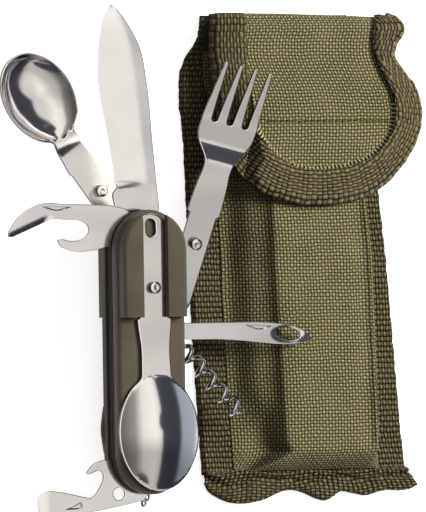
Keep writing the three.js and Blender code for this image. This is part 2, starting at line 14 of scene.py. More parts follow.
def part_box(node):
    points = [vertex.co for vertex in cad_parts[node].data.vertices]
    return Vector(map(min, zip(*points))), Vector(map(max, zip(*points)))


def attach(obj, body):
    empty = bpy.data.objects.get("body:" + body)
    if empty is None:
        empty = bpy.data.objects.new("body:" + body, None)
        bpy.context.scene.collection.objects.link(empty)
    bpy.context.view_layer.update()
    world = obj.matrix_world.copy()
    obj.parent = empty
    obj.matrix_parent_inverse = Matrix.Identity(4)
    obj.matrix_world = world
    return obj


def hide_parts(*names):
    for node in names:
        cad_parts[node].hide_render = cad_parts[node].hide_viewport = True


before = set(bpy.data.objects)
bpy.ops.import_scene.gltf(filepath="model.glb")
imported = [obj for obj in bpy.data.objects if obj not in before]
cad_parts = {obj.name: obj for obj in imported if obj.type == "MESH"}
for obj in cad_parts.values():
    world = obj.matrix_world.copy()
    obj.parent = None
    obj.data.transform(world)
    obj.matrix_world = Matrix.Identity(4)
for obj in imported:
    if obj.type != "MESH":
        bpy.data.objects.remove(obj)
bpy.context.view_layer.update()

MM = 0.001
TOP_PIN = (-3.0, 41.5)
MIDDLE_PIN = (9.5, 10.2)
BOTTOM_PIN = (2.8, -42.5)
MID_PLANE = 15.4

pin_low, pin_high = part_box("top_pin")
PIN_CENTRE = (pin_low + pin_high) / 2
ORIGIN = PIN_CENTRE - Vector((TOP_PIN[0] * MM, TOP_PIN[1] * MM, 0))
HANDLE = Matrix.Translation(ORIGIN) @ Matrix.Scale(MM, 4)
TABLE = Matrix.Translation((ORIGIN.x, ORIGIN.y, 0)) @ Matrix.Scale(MM, 4)


# ------------------------------------------------------------------ numbers and outlines

def clamp(value, low=0.0, high=1.0):
    return max(low, min(high, value))


def smooth(value, start, end):
    part = clamp((value - start) / (end - start))
    return part * part * (3 - 2 * part)


def mix(first, second, share):
    return first + (second - first) * share


def along(points, key):
    """Linear reading of a list of (key, value) pairs, which rise by key."""
    if key <= points[0][0]:
        return points[0][1]
    for (near, low), (far, high) in zip(points, points[1:]):
        if key <= far:
            return mix(low, high, (key - near) / (far - near))
    return points[-1][1]


def spline(points, spacing=0.6):
    """Centripetal Catmull-Rom curve through 2D or 3D points, as evenly spaced points."""
    result = []
    for span in range(len(points) - 1):
        knots = knots_around(points, span)
        steps = max(1, round((knots[2] - knots[1]).length / spacing))
        result += [catmull(knots, step / steps) for step in range(steps)]
    result.append(Vector(points[-1]))
    return result


def knots_around(points, span):
    """The four points around a span; beyond the curve's ends, the end point again."""
    last = len(points) - 1
    return [Vector(points[clamp(span + step, 0, last)]) for step in (-1, 0, 1, 2)]


def catmull(knots, t):
    """The place at t, from 0 to 1, between the middle two of four points."""
    before, start, end, after = knots
    length = (end - start).length
    lean_in = tangent(before, start, end) * length
    lean_out = tangent(start, end, after) * length
    return (start * (2 * t ** 3 - 3 * t ** 2 + 1) + lean_in * (t ** 3 - 2 * t ** 2 + t)
            + end * (3 * t ** 2 - 2 * t ** 3) + lean_out * (t ** 3 - t ** 2))


def tangent(before, here, after):
    """Direction of a curve at the middle one of three points."""
    near = max((here - before).length, 1e-6)
    far = max((after - here).length, 1e-6)
    if near < 1e-5:
        return (after - here) / far
    if far < 1e-5:
        return (here - before) / near
    return ((here - before) / near * far + (after - here) / far * near) / (near + far)


def arc(centre, radius, start, end, steps=24):
    """Points on a circle, from one angle to another in degrees."""
    angles = [math.radians(mix(start, end, step / steps)) for step in range(steps + 1)]
    return [Vector((centre[0] + radius * math.cos(a), centre[1] + radius * math.sin(a)))
            for a in angles]


def chain(*runs):
    """One closed outline from runs of points, without doubled corners."""
    points = []
    for run in runs:
        for point in run:
            point = Vector(point[:2])
            if not points or (point - points[-1]).length > 0.02:
                points.append(point)
    if (points[0] - points[-1]).length < 0.02:
        points.pop()
    return points


def filled(points, spacing=0.8):
    """The same closed outline with its long straight runs split up."""
    result = []
    for here, there in zip(points, points[1:] + points[:1]):
        steps = max(1, round((there - here).length / spacing))
        result += [here.lerp(there, step / steps) for step in range(steps)]
    return result


def turning_left(points):
    area = sum(a.x * b.y - b.x * a.y for a, b in zip(points, points[1:] + points[:1]))
    return points if area > 0 else list(reversed(points))


def offset(points, distance):
    """Outline moved inwards by distance; points turn left around the inside."""
    count = len(points)
    moved = []
    for index, point in enumerate(points):
        before = (point - points[index - 1]).normalized()
        after = (points[(index + 1) % count] - point).normalized()
        normal = Vector((-before.y - after.y, before.x + after.x))
        if normal.length < 1e-6:
            normal = Vector((-before.y, before.x))
        normal.normalize()
        widening = max(0.5, normal.dot(Vector((-before.y, before.x))))
        moved.append(point + normal * (distance / widening))
    return moved


def contains(polygon, x, y):
    inside = False
    for a, b in zip(polygon, polygon[1:] + polygon[:1]):
        if (a.y > y) != (b.y > y) and x < (b.x - a.x) * (y - a.y) / (b.y - a.y) + a.x:
            inside = not inside
    return inside


# ------------------------------------------------------------------ meshes

def build(name, verts, faces, matrix, body, material, replaces=(), slot=None, sharp=32, uvs=None):
    """A mesh object in the row frame, riding on a body. uvs holds one (u, v) for each vertex."""
    mesh = bpy.data.meshes.new(name)
    mesh.from_pydata([matrix @ Vector(v) for v in verts], [], faces)
    if uvs:
        layer = mesh.uv_layers.new(name="UVMap")
        for loop in mesh.loops:
            layer.data[loop.index].uv = uvs[loop.vertex_index]
    edit = bmesh.new()
    edit.from_mesh(mesh)
    bmesh.ops.recalc_face_normals(edit, faces=edit.faces)
    for face in edit.faces:
        face.smooth = True
    limit = math.radians(sharp)
    for edge in edit.edges:
        edge.smooth = len(edge.link_faces) != 2 or edge.calc_face_angle() < limit
    edit.to_mesh(mesh)
    edit.free()
    mesh.materials.append(material)
    piece = bpy.data.objects.new(name, mesh)
    bpy.context.scene.collection.objects.link(piece)
    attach(piece, body)
    if replaces:
        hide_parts(*replaces)
    return piece


SUPPORT_GAP = 0.22


def plate(outline, holes=(), height=lambda x, y: 0.0, half=lambda x, y: 0.5, edge=0.25,
          grid=None, region=None, nicks=()):
    """Vertices and faces of a sheet part with rounded edges.

    height gives the middle surface and half the half thickness at a point. nicks are closed
    outlines sunk into the upper face, as (rim, floor, depth). grid adds inner points. A loop
    just inside each rounded edge keeps the faces beside it flat.
    """
    outline = turning_left(outline)
    holes = [list(reversed(turning_left(hole))) for hole in holes]
    loops = []
    for loop in [outline, *holes]:
        for angle in (0, 30, 60, 90):
            a = math.radians(angle)
            ring = offset(loop, edge * (1 - math.cos(a))) if angle else loop
            loops.append((ring, edge * (1 - math.sin(a)), 0.0))
        loops.append((offset(loop, edge + SUPPORT_GAP), 0.0, 0.0))
    for rim, floor, depth in nicks:
        loops.append((rim, 0.0, 0.0))
        loops.append((floor, 0.0, depth))
    flat, drops, sinks, edges = [], [], [], []
    for ring, drop, sink in loops:
        start = len(flat)
        flat += ring
        drops += [drop] * len(ring)
        sinks += [sink] * len(ring)
        edges += [(start + i, start + (i + 1) % len(ring)) for i in range(len(ring))]
    if grid:
        inner = offset(outline, edge + grid * 0.45)
        around = [offset(hole, edge + grid * 0.45) for hole in holes]
        lows = [min(p[axis] for p in outline) for axis in (0, 1)]
        highs = [max(p[axis] for p in outline) for axis in (0, 1)]
        for row in range(int((highs[1] - lows[1]) / grid) + 1):
            y = lows[1] + grid * (row + 0.37)
            if region and not region[0] < y < region[1]:
                continue
            for column in range(int((highs[0] - lows[0]) / grid) + 1):
                x = lows[0] + grid * (column + (0.5 if row % 2 else 0.0) + 0.21)
                if not contains(inner, x, y) or any(contains(ring, x, y) for ring in around):
                    continue
                if any(contains(rim, x, y) for rim, _, _ in nicks):
                    continue
                flat.append(Vector((x, y)))
                drops.append(0.0)
                sinks.append(0.0)
    points, _, triangles, origins, _, _ = delaunay_2d_cdt(flat, edges, [], 0, 1e-7)
    drop_of = [drops[origin[0]] if origin else 0.0 for origin in origins]
    sink_of = [sinks[origin[0]] if origin else 0.0 for origin in origins]
    kept = []
    for triangle in triangles:
        middle = sum((points[i] for i in triangle), Vector((0, 0))) / 3
        if contains(outline, middle.x, middle.y) and not any(
                contains(hole, middle.x, middle.y) for hole in holes):
            kept.append(tuple(triangle))
    count = len(points)
    upper = [(p.x, p.y, height(p.x, p.y) + half(p.x, p.y) - drop_of[i] - sink_of[i])
             for i, p in enumerate(points)]
    lower = [(p.x, p.y, height(p.x, p.y) - half(p.x, p.y) + drop_of[i])
             for i, p in enumerate(points)]
    faces = kept + [tuple(count + i for i in reversed(t)) for t in kept]
    tally = {}
    for triangle in kept:
        for a, b in zip(triangle, triangle[1:] + triangle[:1]):
            tally[(a, b)] = tally.get((a, b), 0) + 1
    for a, b in tally:
        if (b, a) not in tally:
            faces.append((b, a, count + a, count + b))
    return without_strays(upper + lower, faces)


def without_strays(verts, faces):
    used = sorted({index for face in faces for index in face})
    renumbered = {old: new for new, old in enumerate(used)}
    return [verts[i] for i in used], [tuple(renumbered[i] for i in face) for face in faces]


def lathe(profile, sides=48):
    """Vertices and faces of a turned part; profile is (radius, height) from bottom to top."""
    verts = [(0.0, 0.0, profile[0][1])]
    for radius, height in profile:
        for side in range(sides):
            angle = 2 * math.pi * side / sides
            verts.append((radius * math.cos(angle), radius * math.sin(angle), height))
    verts.append((0.0, 0.0, profile[-1][1]))
    faces = []
    for side in range(sides):
        after = (side + 1) % sides
        faces.append((0, 1 + after, 1 + side))
        for row in range(len(profile) - 1):
            here = 1 + row * sides
            faces.append((here + side, here + after, here + sides + after, here + sides + side))
        last = 1 + (len(profile) - 1) * sides
        faces.append((last + side, last + after, len(verts) - 1))
    return verts, faces


def tube(path, radius_at, sides=14):
    """Vertices and faces of a round wire along a path; radius_at takes a share from 0 to 1."""
    verts, faces = [], []
    side_way = None
    for index, point in enumerate(path):
        ahead = path[min(index + 1, len(path) - 1)]
        behind = path[max(index - 1, 0)]
        forward = (ahead - behind).normalized()
        if side_way is None:
            side_way = forward.orthogonal().normalized()
        side_way = (side_way - forward * side_way.dot(forward)).normalized()
        up_way = forward.cross(side_way)
        radius = radius_at(index / (len(path) - 1))
        for side in range(sides):
            angle = 2 * math.pi * side / sides
            verts.append(point + (side_way * math.cos(angle) + up_way * math.sin(angle)) * radius)
    for row in range(len(path) - 1):
        for side in range(sides):
            here = row * sides
            after = (side + 1) % sides
            faces.append((here + side, here + after, here + sides + after, here + sides + side))
    faces.append(tuple(reversed(range(sides))))
    faces.append(tuple(range((len(path) - 1) * sides, len(path) * sides)))
    return verts, faces


def merged(*parts):
    verts, faces = [], []
    for part_verts, part_faces in parts:
        start = len(verts)
        verts += list(part_verts)
        faces += [tuple(start + i for i in face) for face in part_faces]
    return verts, faces


def cloth_shell(rows, thickness, uvs):
    """A sheet of cloth with thickness from a grid of 3D points, as vertices, faces and uvs.

    The second face lies thickness away from the grid, against its normals. The grid is the
    upper face, except in the flap's tape, whose rows run the other way: there it is the lower one.
    """
    high, wide = len(rows), len(rows[0])
    upper, lower = [], []
    for r in range(high):
        for c in range(wide):
            here = rows[r][c]
            across = rows[r][min(c + 1, wide - 1)] - rows[r][max(c - 1, 0)]
            up = rows[min(r + 1, high - 1)][c] - rows[max(r - 1, 0)][c]
            normal = across.cross(up).normalized()
            depth = thickness(r, c) if callable(thickness) else thickness
            upper.append(here)
            lower.append(here - normal * depth)
    verts = upper + lower
    count = high * wide
    faces = []
    for r in range(high - 1):
        for c in range(wide - 1):
            a, b = r * wide + c, r * wide + c + 1
            d, e = a + wide, b + wide
            faces.append((a, b, e, d))
            faces.append((count + a, count + d, count + e, count + b))
    rim = ([(0, c) for c in range(wide)] + [(r, wide - 1) for r in range(1, high)]
           + [(high - 1, c) for c in range(wide - 2, -1, -1)] + [(r, 0) for r in range(high - 2, 0, -1)])
    for (r1, c1), (r2, c2) in zip(rim, rim[1:] + rim[:1]):
        a, b = r1 * wide + c1, r2 * wide + c2
        faces.append((b, a, count + a, count + b))
    flat_uvs = [uvs(r, c) for r in range(high) for c in range(wide)]
    return verts, faces, flat_uvs * 2


# ------------------------------------------------------------------ materials

def new_material(name):
    material = bpy.data.materials.new(name)
    material.use_nodes = True
    tree = material.node_tree
    shader = tree.nodes["Principled BSDF"]
    return material, tree, shader


def node(tree, kind, inputs=None, **settings):
    made = tree.nodes.new("ShaderNode" + kind)
    for key, value in settings.items():
        setattr(made, key, value)
    for key, value in (inputs or {}).items():
        if isinstance(value, bpy.types.NodeSocket):
            tree.links.new(value, made.inputs[key])
        else:
            made.inputs[key].default_value = value
    return made


def maths(tree, operation, *values):
    return node(tree, "Math", dict(enumerate(values)), operation=operation).outputs[0]


def object_point(tree):
    return node(tree, "TexCoord").outputs["Object"]


def facing(tree):
    """The surface's direction in its piece's own frame, as X, Y and Z."""
    return node(tree, "SeparateXYZ", {"Vector": node(tree, "TexCoord").outputs["Normal"]}).outputs


def noise_of(tree, scale, detail=3.0, vector=None):
    made = node(tree, "TexNoise", {"Vector": vector or object_point(tree), "Scale": scale,
                                   "Detail": detail})
    return made.outputs["Fac"]


def ramp(tree, factor, stops):
    made = node(tree, "ValToRGB", {"Fac": factor})
    elements = made.color_ramp.elements
    while len(elements) < len(stops):
        elements.new(0.5)
    for element, (place, colour) in zip(elements, stops):
        element.position = place
        element.color = (*colour, 1.0)
    return made.outputs["Color"]


def spread(tree, value, low, high):
    made = node(tree, "MapRange", {"Value": value, "To Min": low, "To Max": high})
    return made.outputs["Result"]


def bump(tree, height, strength, distance, normal=None):
    inputs = {"Height": height, "Strength": strength, "Distance": distance}
    if normal:
        inputs["Normal"] = normal
    return node(tree, "Bump", inputs).outputs["Normal"]


def plastic_material():
    """Olive-brown moulded plastic with a fine grain and slightly rubbed high spots."""
    material, tree, shader = new_material("moulded_plastic")
    blotch = noise_of(tree, 60.0, 4.0)
    grain = noise_of(tree, 2600.0, 2.0)
    colour = ramp(tree, blotch, [(0.3, (0.036, 0.0295, 0.021)), (0.7, (0.050, 0.041, 0.029))])
    tree.links.new(colour, shader.inputs["Base Color"])
    tree.links.new(spread(tree, blotch, 0.52, 0.66), shader.inputs["Roughness"])
    shader.inputs["Specular IOR Level"].default_value = 0.22
    tree.links.new(bump(tree, grain, 0.25, 0.00006), shader.inputs["Normal"])
    return material


def steel_material(name, tone, rough_low, rough_high, grain_way=None, grain=0.12, waviness=0.0012):
    """Stainless steel: tone is its colour, grain_way the direction of fine polishing lines.

    The cut sides of a sheet are darkened as painted shade, by how far they face sideways. waviness is the
    height in metres of the slight unevenness left by rolling and polishing.
    """
    material, tree, shader = new_material(name)
    shader.inputs["Metallic"].default_value = 1.0
    smudge = noise_of(tree, 90.0, 4.0)
    point = object_point(tree)
    slanted = node(tree, "Mapping", {"Vector": point, "Rotation": (0.0, 0.0, 0.75),
                                     "Scale": (0.45, 1.6, 1.0)}).outputs["Vector"]
    swells = noise_of(tree, 24.0, 1.0, slanted)
    if grain_way:
        point = node(tree, "Mapping", {"Vector": point, "Scale": grain_way}).outputs["Vector"]
    lines = noise_of(tree, 1600.0, 3.0, point)
    low = tuple(channel * 0.93 for channel in tone)
    colour = ramp(tree, smudge, [(0.3, low), (0.75, tone)])
    # Painted shade: colour darkens where the surface faces sideways, as on a sheet's sides and a bowl's
    # steep rim.
    flatness = maths(tree, "ABSOLUTE", facing(tree)[2])
    painted_side_shade = ramp(tree, flatness, [(0.25, (0.10, 0.10, 0.10)), (0.80, (1.0, 1.0, 1.0))])
    colour = node(tree, "VectorMath", {0: colour, 1: painted_side_shade}, operation="MULTIPLY").outputs[0]
    tree.links.new(colour, shader.inputs["Base Color"])
    tree.links.new(spread(tree, lines, rough_low, rough_high), shader.inputs["Roughness"])
    broad = bump(tree, swells, 1.0, waviness)
    tree.links.new(bump(tree, lines, grain, 0.00002, broad), shader.inputs["Normal"])
    return material


def woven_material(name, cell, light, shade, gap, depth):
    """Woven cloth: cell is the pitch of its threads in millimetres, across and along.

    Threads pass over and under one another like a chessboard. Each is rounded and streaked.
    Faces towards negative X are darker: painted shade for walls facing away from the light, partly also
    their more open, stretched weave.
    """
    material, tree, shader = new_material(name)
    place = node(tree, "UVMap", uv_map="UVMap").outputs["UV"]
    drift = node(tree, "TexNoise", {"Vector": place, "Scale": 0.12, "Detail": 2.0}).outputs["Color"]
    sway = node(tree, "VectorMath", {0: drift, 1: (-0.5, -0.5, -0.5)}, operation="ADD").outputs[0]
    sway = node(tree, "VectorMath", {0: sway, "Scale": 1.1}, operation="SCALE").outputs[0]
    place = node(tree, "VectorMath", {0: place, 1: sway}, operation="ADD").outputs[0]
    apart = node(tree, "SeparateXYZ", {"Vector": place}).outputs
    u = maths(tree, "DIVIDE", apart[0], cell[0])
    v = maths(tree, "DIVIDE", apart[1], cell[1])
    domes = []
    for value in (u, v):
        part = maths(tree, "FRACT", value)
        side = maths(tree, "SUBTRACT", maths(tree, "MULTIPLY", part, 2.0), 1.0)
        domes.append(maths(tree, "SUBTRACT", 1.0, maths(tree, "MULTIPLY", side, side)))
    cells = maths(tree, "ADD", maths(tree, "FLOOR", u), maths(tree, "FLOOR", v))
    odd = maths(tree, "MULTIPLY", maths(tree, "FRACT", maths(tree, "MULTIPLY", cells, 0.5)), 2.0)
    heights = []
    for round_way, long_way in (domes, reversed(domes)):
        crown = maths(tree, "POWER", round_way, 0.6)
        rise = maths(tree, "ADD", maths(tree, "MULTIPLY", long_way, 0.65), 0.35)
        heights.append(maths(tree, "MULTIPLY", crown, rise))
    chosen = node(tree, "Mix", {"Factor": odd, "A": heights[0], "B": heights[1]}, data_type="FLOAT")
    # One kind of cell lies lower, so below it is also coloured darker: painted shade for threads that
    # catch less light.
    height = maths(tree, "MULTIPLY", chosen.outputs["Result"], spread(tree, odd, 0.68, 1.08))
    fibre = node(tree, "TexNoise", {"Vector": place, "Scale": 5.0, "Detail": 3.0}).outputs["Fac"]
    patch = node(tree, "TexNoise", {"Vector": place, "Scale": 0.05, "Detail": 3.0}).outputs["Fac"]
    tint = maths(tree, "ADD", maths(tree, "MULTIPLY", fibre, 0.35), maths(tree, "MULTIPLY", patch, 0.3))
    level = maths(tree, "ADD", height, maths(tree, "SUBTRACT", tint, 0.325))
    # Colour follows thread height: painted shade in the gaps and dips between threads, lighter on the
    # crowns.
    colour = ramp(tree, level, [(0.18, gap), (0.45, shade), (0.85, light)])
    # Painted shade: faces towards negative X are darkened, partly also standing for the more open weave of
    # stretched walls.
    sideways = node(tree, "MapRange", {"Value": facing(tree)[0], "From Min": -1.0}).outputs["Result"]
    side_shade_and_open_weave = ramp(tree, sideways, [(0.22, (0.4, 0.4, 0.4)), (0.44, (1.0, 1.0, 1.0))])
    colour = node(tree, "VectorMath", {0: colour, 1: side_shade_and_open_weave}, operation="MULTIPLY").outputs[0]
    tree.links.new(colour, shader.inputs["Base Color"])
    shader.inputs["Roughness"].default_value = 0.88
    shader.inputs["Specular IOR Level"].default_value = 0.12
    relief = maths(tree, "ADD", height, maths(tree, "MULTIPLY", fibre, 0.25))
    tree.links.new(bump(tree, relief, 1.0, depth), shader.inputs["Normal"])
    return material


def pile_material(name, colour_low, colour_high, scale):
    """Hook or loop fastener: a dark field of tiny tufts."""
    material, tree, shader = new_material(name)
    tufts = node(tree, "TexVoronoi", {"Vector": object_point(tree), "Scale": scale}).outputs["Distance"]
    colour = ramp(tree, tufts, [(0.1, colour_high), (0.6, colour_low)])
    tree.links.new(colour, shader.inputs["Base Color"])
    shader.inputs["Roughness"].default_value = 0.95
    tree.links.new(bump(tree, tufts, 0.9, 0.0003), shader.inputs["Normal"])
    return material


def thread_material(name, low, high):
    """Twisted sewing thread."""
    material, tree, shader = new_material(name)
    strands = noise_of(tree, 3000.0, 2.0)
    tree.links.new(ramp(tree, strands, [(0.3, low), (0.7, high)]), shader.inputs["Base Color"])
    shader.inputs["Roughness"].default_value = 0.8
    tree.links.new(bump(tree, strands, 0.6, 0.0001), shader.inputs["Normal"])
    return material


PLASTIC = plastic_material()
BLADE = steel_material("blade_steel", (0.80, 0.785, 0.755), 0.10, 0.20, (0.15, 4.0, 1.0), 0.08)
POLISHED = steel_material("polished_steel", (0.76, 0.735, 0.705), 0.10, 0.17, None, 0.05)
WIRE = steel_material("wire_steel", (0.60, 0.59, 0.58), 0.10, 0.18, None, 0.05)
# Dark tone, well below bare steel: painted shade for the black gap between the covers where liners,
# dividers and springs sit.
BRUSHED = steel_material("liner_steel", (0.24, 0.235, 0.22), 0.30, 0.45, (0.2, 4.0, 1.0), 0.2)
CLOTH = woven_material("basket_weave", (1.25, 1.25), (0.150, 0.135, 0.068), (0.062, 0.054, 0.026),
                       (0.012, 0.010, 0.005), 0.0006)
TAPE = woven_material("ribbed_webbing", (1.2, 2.0), (0.088, 0.073, 0.038), (0.032, 0.026, 0.014),
                      (0.003, 0.0024, 0.0015), 0.0009)
THREAD = thread_material("sewing_thread", (0.13, 0.112, 0.065), (0.30, 0.27, 0.17))
# Near-black thread for the running line, also used for the tube of painted shadow under the satin
# stitches.
DARK_THREAD_AND_SHADOW = thread_material("dark_thread_and_painted_shadow", (0.006, 0.005, 0.003), (0.022, 0.018, 0.011))
PILE = pile_material("hook_and_loop", (0.012, 0.010, 0.007), (0.05, 0.045, 0.03), 1400.0)
# Near-black coated lining: partly its own colour, partly painted shade for the deep gap under the flap.
LINING_AND_GAP_SHADE = pile_material("coated_lining_and_gap_shade", (0.006, 0.006, 0.005), (0.016, 0.015, 0.012), 2200.0)


# ------------------------------------------------------------------ handle

HANDLE_LENGTH = 105.0
HANDLE_WIDTH = 27.0
END_RISE = 15.0
COVER_INNER = 3.6
COVER_FACE = 8.8
BLOCK_FACE = 13.8
BLOCK_INSET = 0.9
BLOCK_START = 12.9
BLOCK_FILLET = 1.7
COVER_FILLET = 2.0
COVER_BEVEL = 0.3
CHANNEL_HALF = 4.8
UNDERCUT_HALF = 6.8
UNDERCUT_TOP = 10.7


def handle_outline(inset):
    """The handle's outline, moved inwards."""
    half = HANDLE_WIDTH / 2 - inset
    rise = END_RISE - inset
    straight = HANDLE_LENGTH / 2 - END_RISE
    turn = [math.radians(mix(0, 180, step / 60)) for step in range(61)]
    top = [Vector((half * math.cos(a), straight + rise * math.sin(a))) for a in turn]
    return chain(top, [-point for point in top])


def rounded_slab(outline, bottom, top, fillet, low_fillet=0.3):
    """Vertices and faces of a thick plate whose upper rim is rounded more than its lower one."""
    outline = turning_left(outline)
    rings = []
    for angle in (90, 60, 30, 0):
        a = math.radians(angle)
        rings.append((offset(outline, low_fillet * (1 - math.cos(a))),
                      bottom + low_fillet * (1 - math.sin(a))))
    for angle in range(0, 91, 10):
        a = math.radians(angle)
        rings.append((offset(outline, fillet * (1 - math.cos(a))), top - fillet * (1 - math.sin(a))))
    verts, faces = [], []
    count = len(outline)
    for ring, z in rings:
        verts += [(p.x, p.y, z) for p in ring]
    for row in range(len(rings) - 1):
        for side in range(count):
            here, after = row * count + side, row * count + (side + 1) % count
            faces.append((here, after, after + count, here + count))
    faces.append(tuple(reversed(range(count))))
    faces.append(tuple(range((len(rings) - 1) * count, len(rings) * count)))
    return verts, faces


def box_solid(xs, ys, zs):
    verts = [(x, y, z) for x in xs for y in ys for z in zs]
    faces = [(0, 1, 3, 2), (4, 6, 7, 5), (0, 4, 5, 1), (2, 3, 7, 6), (0, 2, 6, 4), (1, 5, 7, 3)]
    return verts, faces


def scratch(verts, faces):
    """A temporary object in millimetres."""
    mesh = bpy.data.meshes.new("scratch")
    mesh.from_pydata(verts, [], faces)
    edit = bmesh.new()
    edit.from_mesh(mesh)
    bmesh.ops.recalc_face_normals(edit, faces=edit.faces)
    edit.to_mesh(mesh)
    edit.free()
    made = bpy.data.objects.new("scratch", mesh)
    bpy.context.scene.collection.objects.link(made)
    return made


def carved(base, steps):
    """Base after adding or cutting solids, its sharp edges rounded, as vertices and faces."""
    work = scratch(*base)
    tools = []
    for operation, solid in steps:
        tool = scratch(*solid)
        tools.append(tool)
        step = work.modifiers.new("step", "BOOLEAN")
        step.operation = operation
        step.object = tool
        step.solver = "EXACT"
    rounding = work.modifiers.new("rounding", "BEVEL")
    rounding.width = COVER_BEVEL
    rounding.segments = 2
    rounding.limit_method = "ANGLE"
    rounding.angle_limit = math.radians(50)
    bpy.context.view_layer.update()
    result = work.evaluated_get(bpy.context.evaluated_depsgraph_get()).to_mesh()
    verts = [tuple(v.co) for v in result.vertices]
    faces = [tuple(p.vertices) for p in result.polygons]
    work.evaluated_get(bpy.context.evaluated_depsgraph_get()).to_mesh_clear()
    for item in [work, *tools]:
        mesh = item.data
        bpy.data.objects.remove(item)
        bpy.data.meshes.remove(mesh)
    return verts, faces


def mirrored(verts, faces):
    return [(x, y, -z) for x, y, z in verts], [tuple(reversed(face)) for face in faces]


def cover():
    """The front cover: a recessed lower part and two raised blocks beside the spoon's channel.

    It is given as a base and the steps that shape it. The cutting boxes reach past its outline.
    """
    high = rounded_slab(handle_outline(BLOCK_INSET), COVER_INNER + 1, BLOCK_FACE, BLOCK_FILLET)
    short = box_solid((-20, 20), (-60, BLOCK_START), (COVER_INNER, 20))
    low = rounded_slab(handle_outline(0), COVER_INNER, COVER_FACE, COVER_FILLET)
    channel = box_solid((-CHANNEL_HALF, CHANNEL_HALF), (-61, 61), (COVER_FACE, 20))
    undercut = box_solid((-UNDERCUT_HALF, UNDERCUT_HALF), (-62, 62), (COVER_FACE, UNDERCUT_TOP))
    return high, [("DIFFERENCE", short), ("UNION", low), ("DIFFERENCE", channel),
                  ("DIFFERENCE", undercut)]


def swell():
    """Low swelling on both long sides of the rear cover."""
    side, reach = HANDLE_WIDTH / 2 - 0.3, HANDLE_WIDTH / 2 + 0.8
    right = spline([(side, -37.2), (side + 0.5, -34), (reach, -28.5), (side + 0.5, -23), (side, -19.8)])
    return rounded_slab(chain(right, [(-p.x, p.y) for p in reversed(right)]), 6.6, 9.4, 1.2, 0.8)


def add_covers():
    base, steps = cover()
    build("front_cover_shell", *carved(base, steps), HANDLE, "handle", PLASTIC,
          ["front_cover"], "plastic")
    relief = box_solid((5.4, 27), (-42, MIDDLE_PIN[1]), (3.1, 7.0))
    hub = rounded_slab(arc(MIDDLE_PIN, 4.3, 0, 350, 35), 3.1, 4.35, 0.1, 0.1)
    well = rounded_slab(arc(MIDDLE_PIN, 1.8, 0, 345, 23), 3.1, 8.0, 0.1, 0.1)
    steps = steps + [("UNION", swell()), ("DIFFERENCE", relief), ("DIFFERENCE", hub),
                     ("DIFFERENCE", well)]
    build("rear_cover_shell", *mirrored(*carved(base, steps)), HANDLE, "handle", PLASTIC,
          ["rear_cover"], "plastic")


def finish_frame_nodes():
    """Materials for the CAD nodes that stay as they are."""
    looks = {
        "front_liner": BRUSHED, "rear_liner": BRUSHED, "front_divider": BRUSHED,
        "rear_divider": BRUSHED, "knife_spring": BRUSHED, "bottle_opener_spring": BRUSHED,
        "can_opener_spring": BRUSHED, "top_pin": POLISHED, "bottom_pin": POLISHED,
        "middle_pin": POLISHED, "spring_rivet": POLISHED, "loop_patch": PILE, "hook_patch": PILE,
    }
    for name, material in looks.items():
        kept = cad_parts[name]
        if not kept.material_slots:
            kept.data.materials.append(None)
        for place in kept.material_slots:
            place.material = material


# ------------------------------------------------------------------ folding tools

PIN_HOLE = 1.8


def crescent(start, end, depth, sink, steps=14):
    """A nail nick: a straight rim from start to end, and an arc below it."""
    start, end = Vector(start), Vector(end)
    way = end - start
    down = Vector((way.y, -way.x)).normalized()
    rim = [start.lerp(end, step / steps) for step in range(steps + 1)]
    bow = [end.lerp(start, step / steps) + down * depth * math.sin(math.pi * step / steps)
           for step in range(1, steps)]
    floor_rim = [start.lerp(end, mix(0.06, 0.94, step / steps)) + down * 0.12
                 for step in range(steps + 1)]
    middle = start.lerp(end, 0.5) + down * depth * 0.3
    floor = floor_rim + [middle + (point - middle) * 0.62 for point in bow]
    return turning_left(rim + bow), turning_left(floor), sink


def knife():
    edge = [(-9.8, 62.5), (-10.3, 68), (-11.2, 74), (-12.6, 82.5), (-14.1, 90.4), (-15.5, 99.5),
            (-15.6, 107), (-14.6, 118.2), (-12.6, 125), (-10.4, 128.3)]
    spine = [(-9.6, 128.3), (-6, 124.4), (-2.2, 118.8), (0.8, 112.7), (3.3, 100), (5.3, 77),
             (7.6, 52.6)]
    choil = spline([(-9.8, 54.1), (-10.5, 58.6), (-8.9, 61.3), (-9.8, 62.5)], 0.4)
    tang = arc(TOP_PIN, 5.6, 162, 382, 30)
    outline = chain(tang, [(2.2, 43.6), (7.6, 52.6)], list(reversed(spline(spine, 0.8))),
                    list(reversed(spline(edge, 0.8))), list(reversed(choil)))
    hole = arc(TOP_PIN, PIN_HOLE, 0, 350, 35)
    edge_at = [(y, x) for x, y in edge]
    spine_at = [(y, x) for x, y in reversed(spine)]

    def half(x, y):
        near = along(edge_at, y)
        far = along(spine_at, y)
        share = clamp((x - near) / max(far - near, 0.5))
        ground = mix(0.14, 0.8, clamp(share / 0.75))
        plunge = smooth(y, 60.6 + 1.2 * share, 63.0 + 1.2 * share)
        return mix(0.8, ground, plunge)

    return plate(outline, [hole], lambda x, y: -1.95, half, 0.1, 1.0, (56, 130))


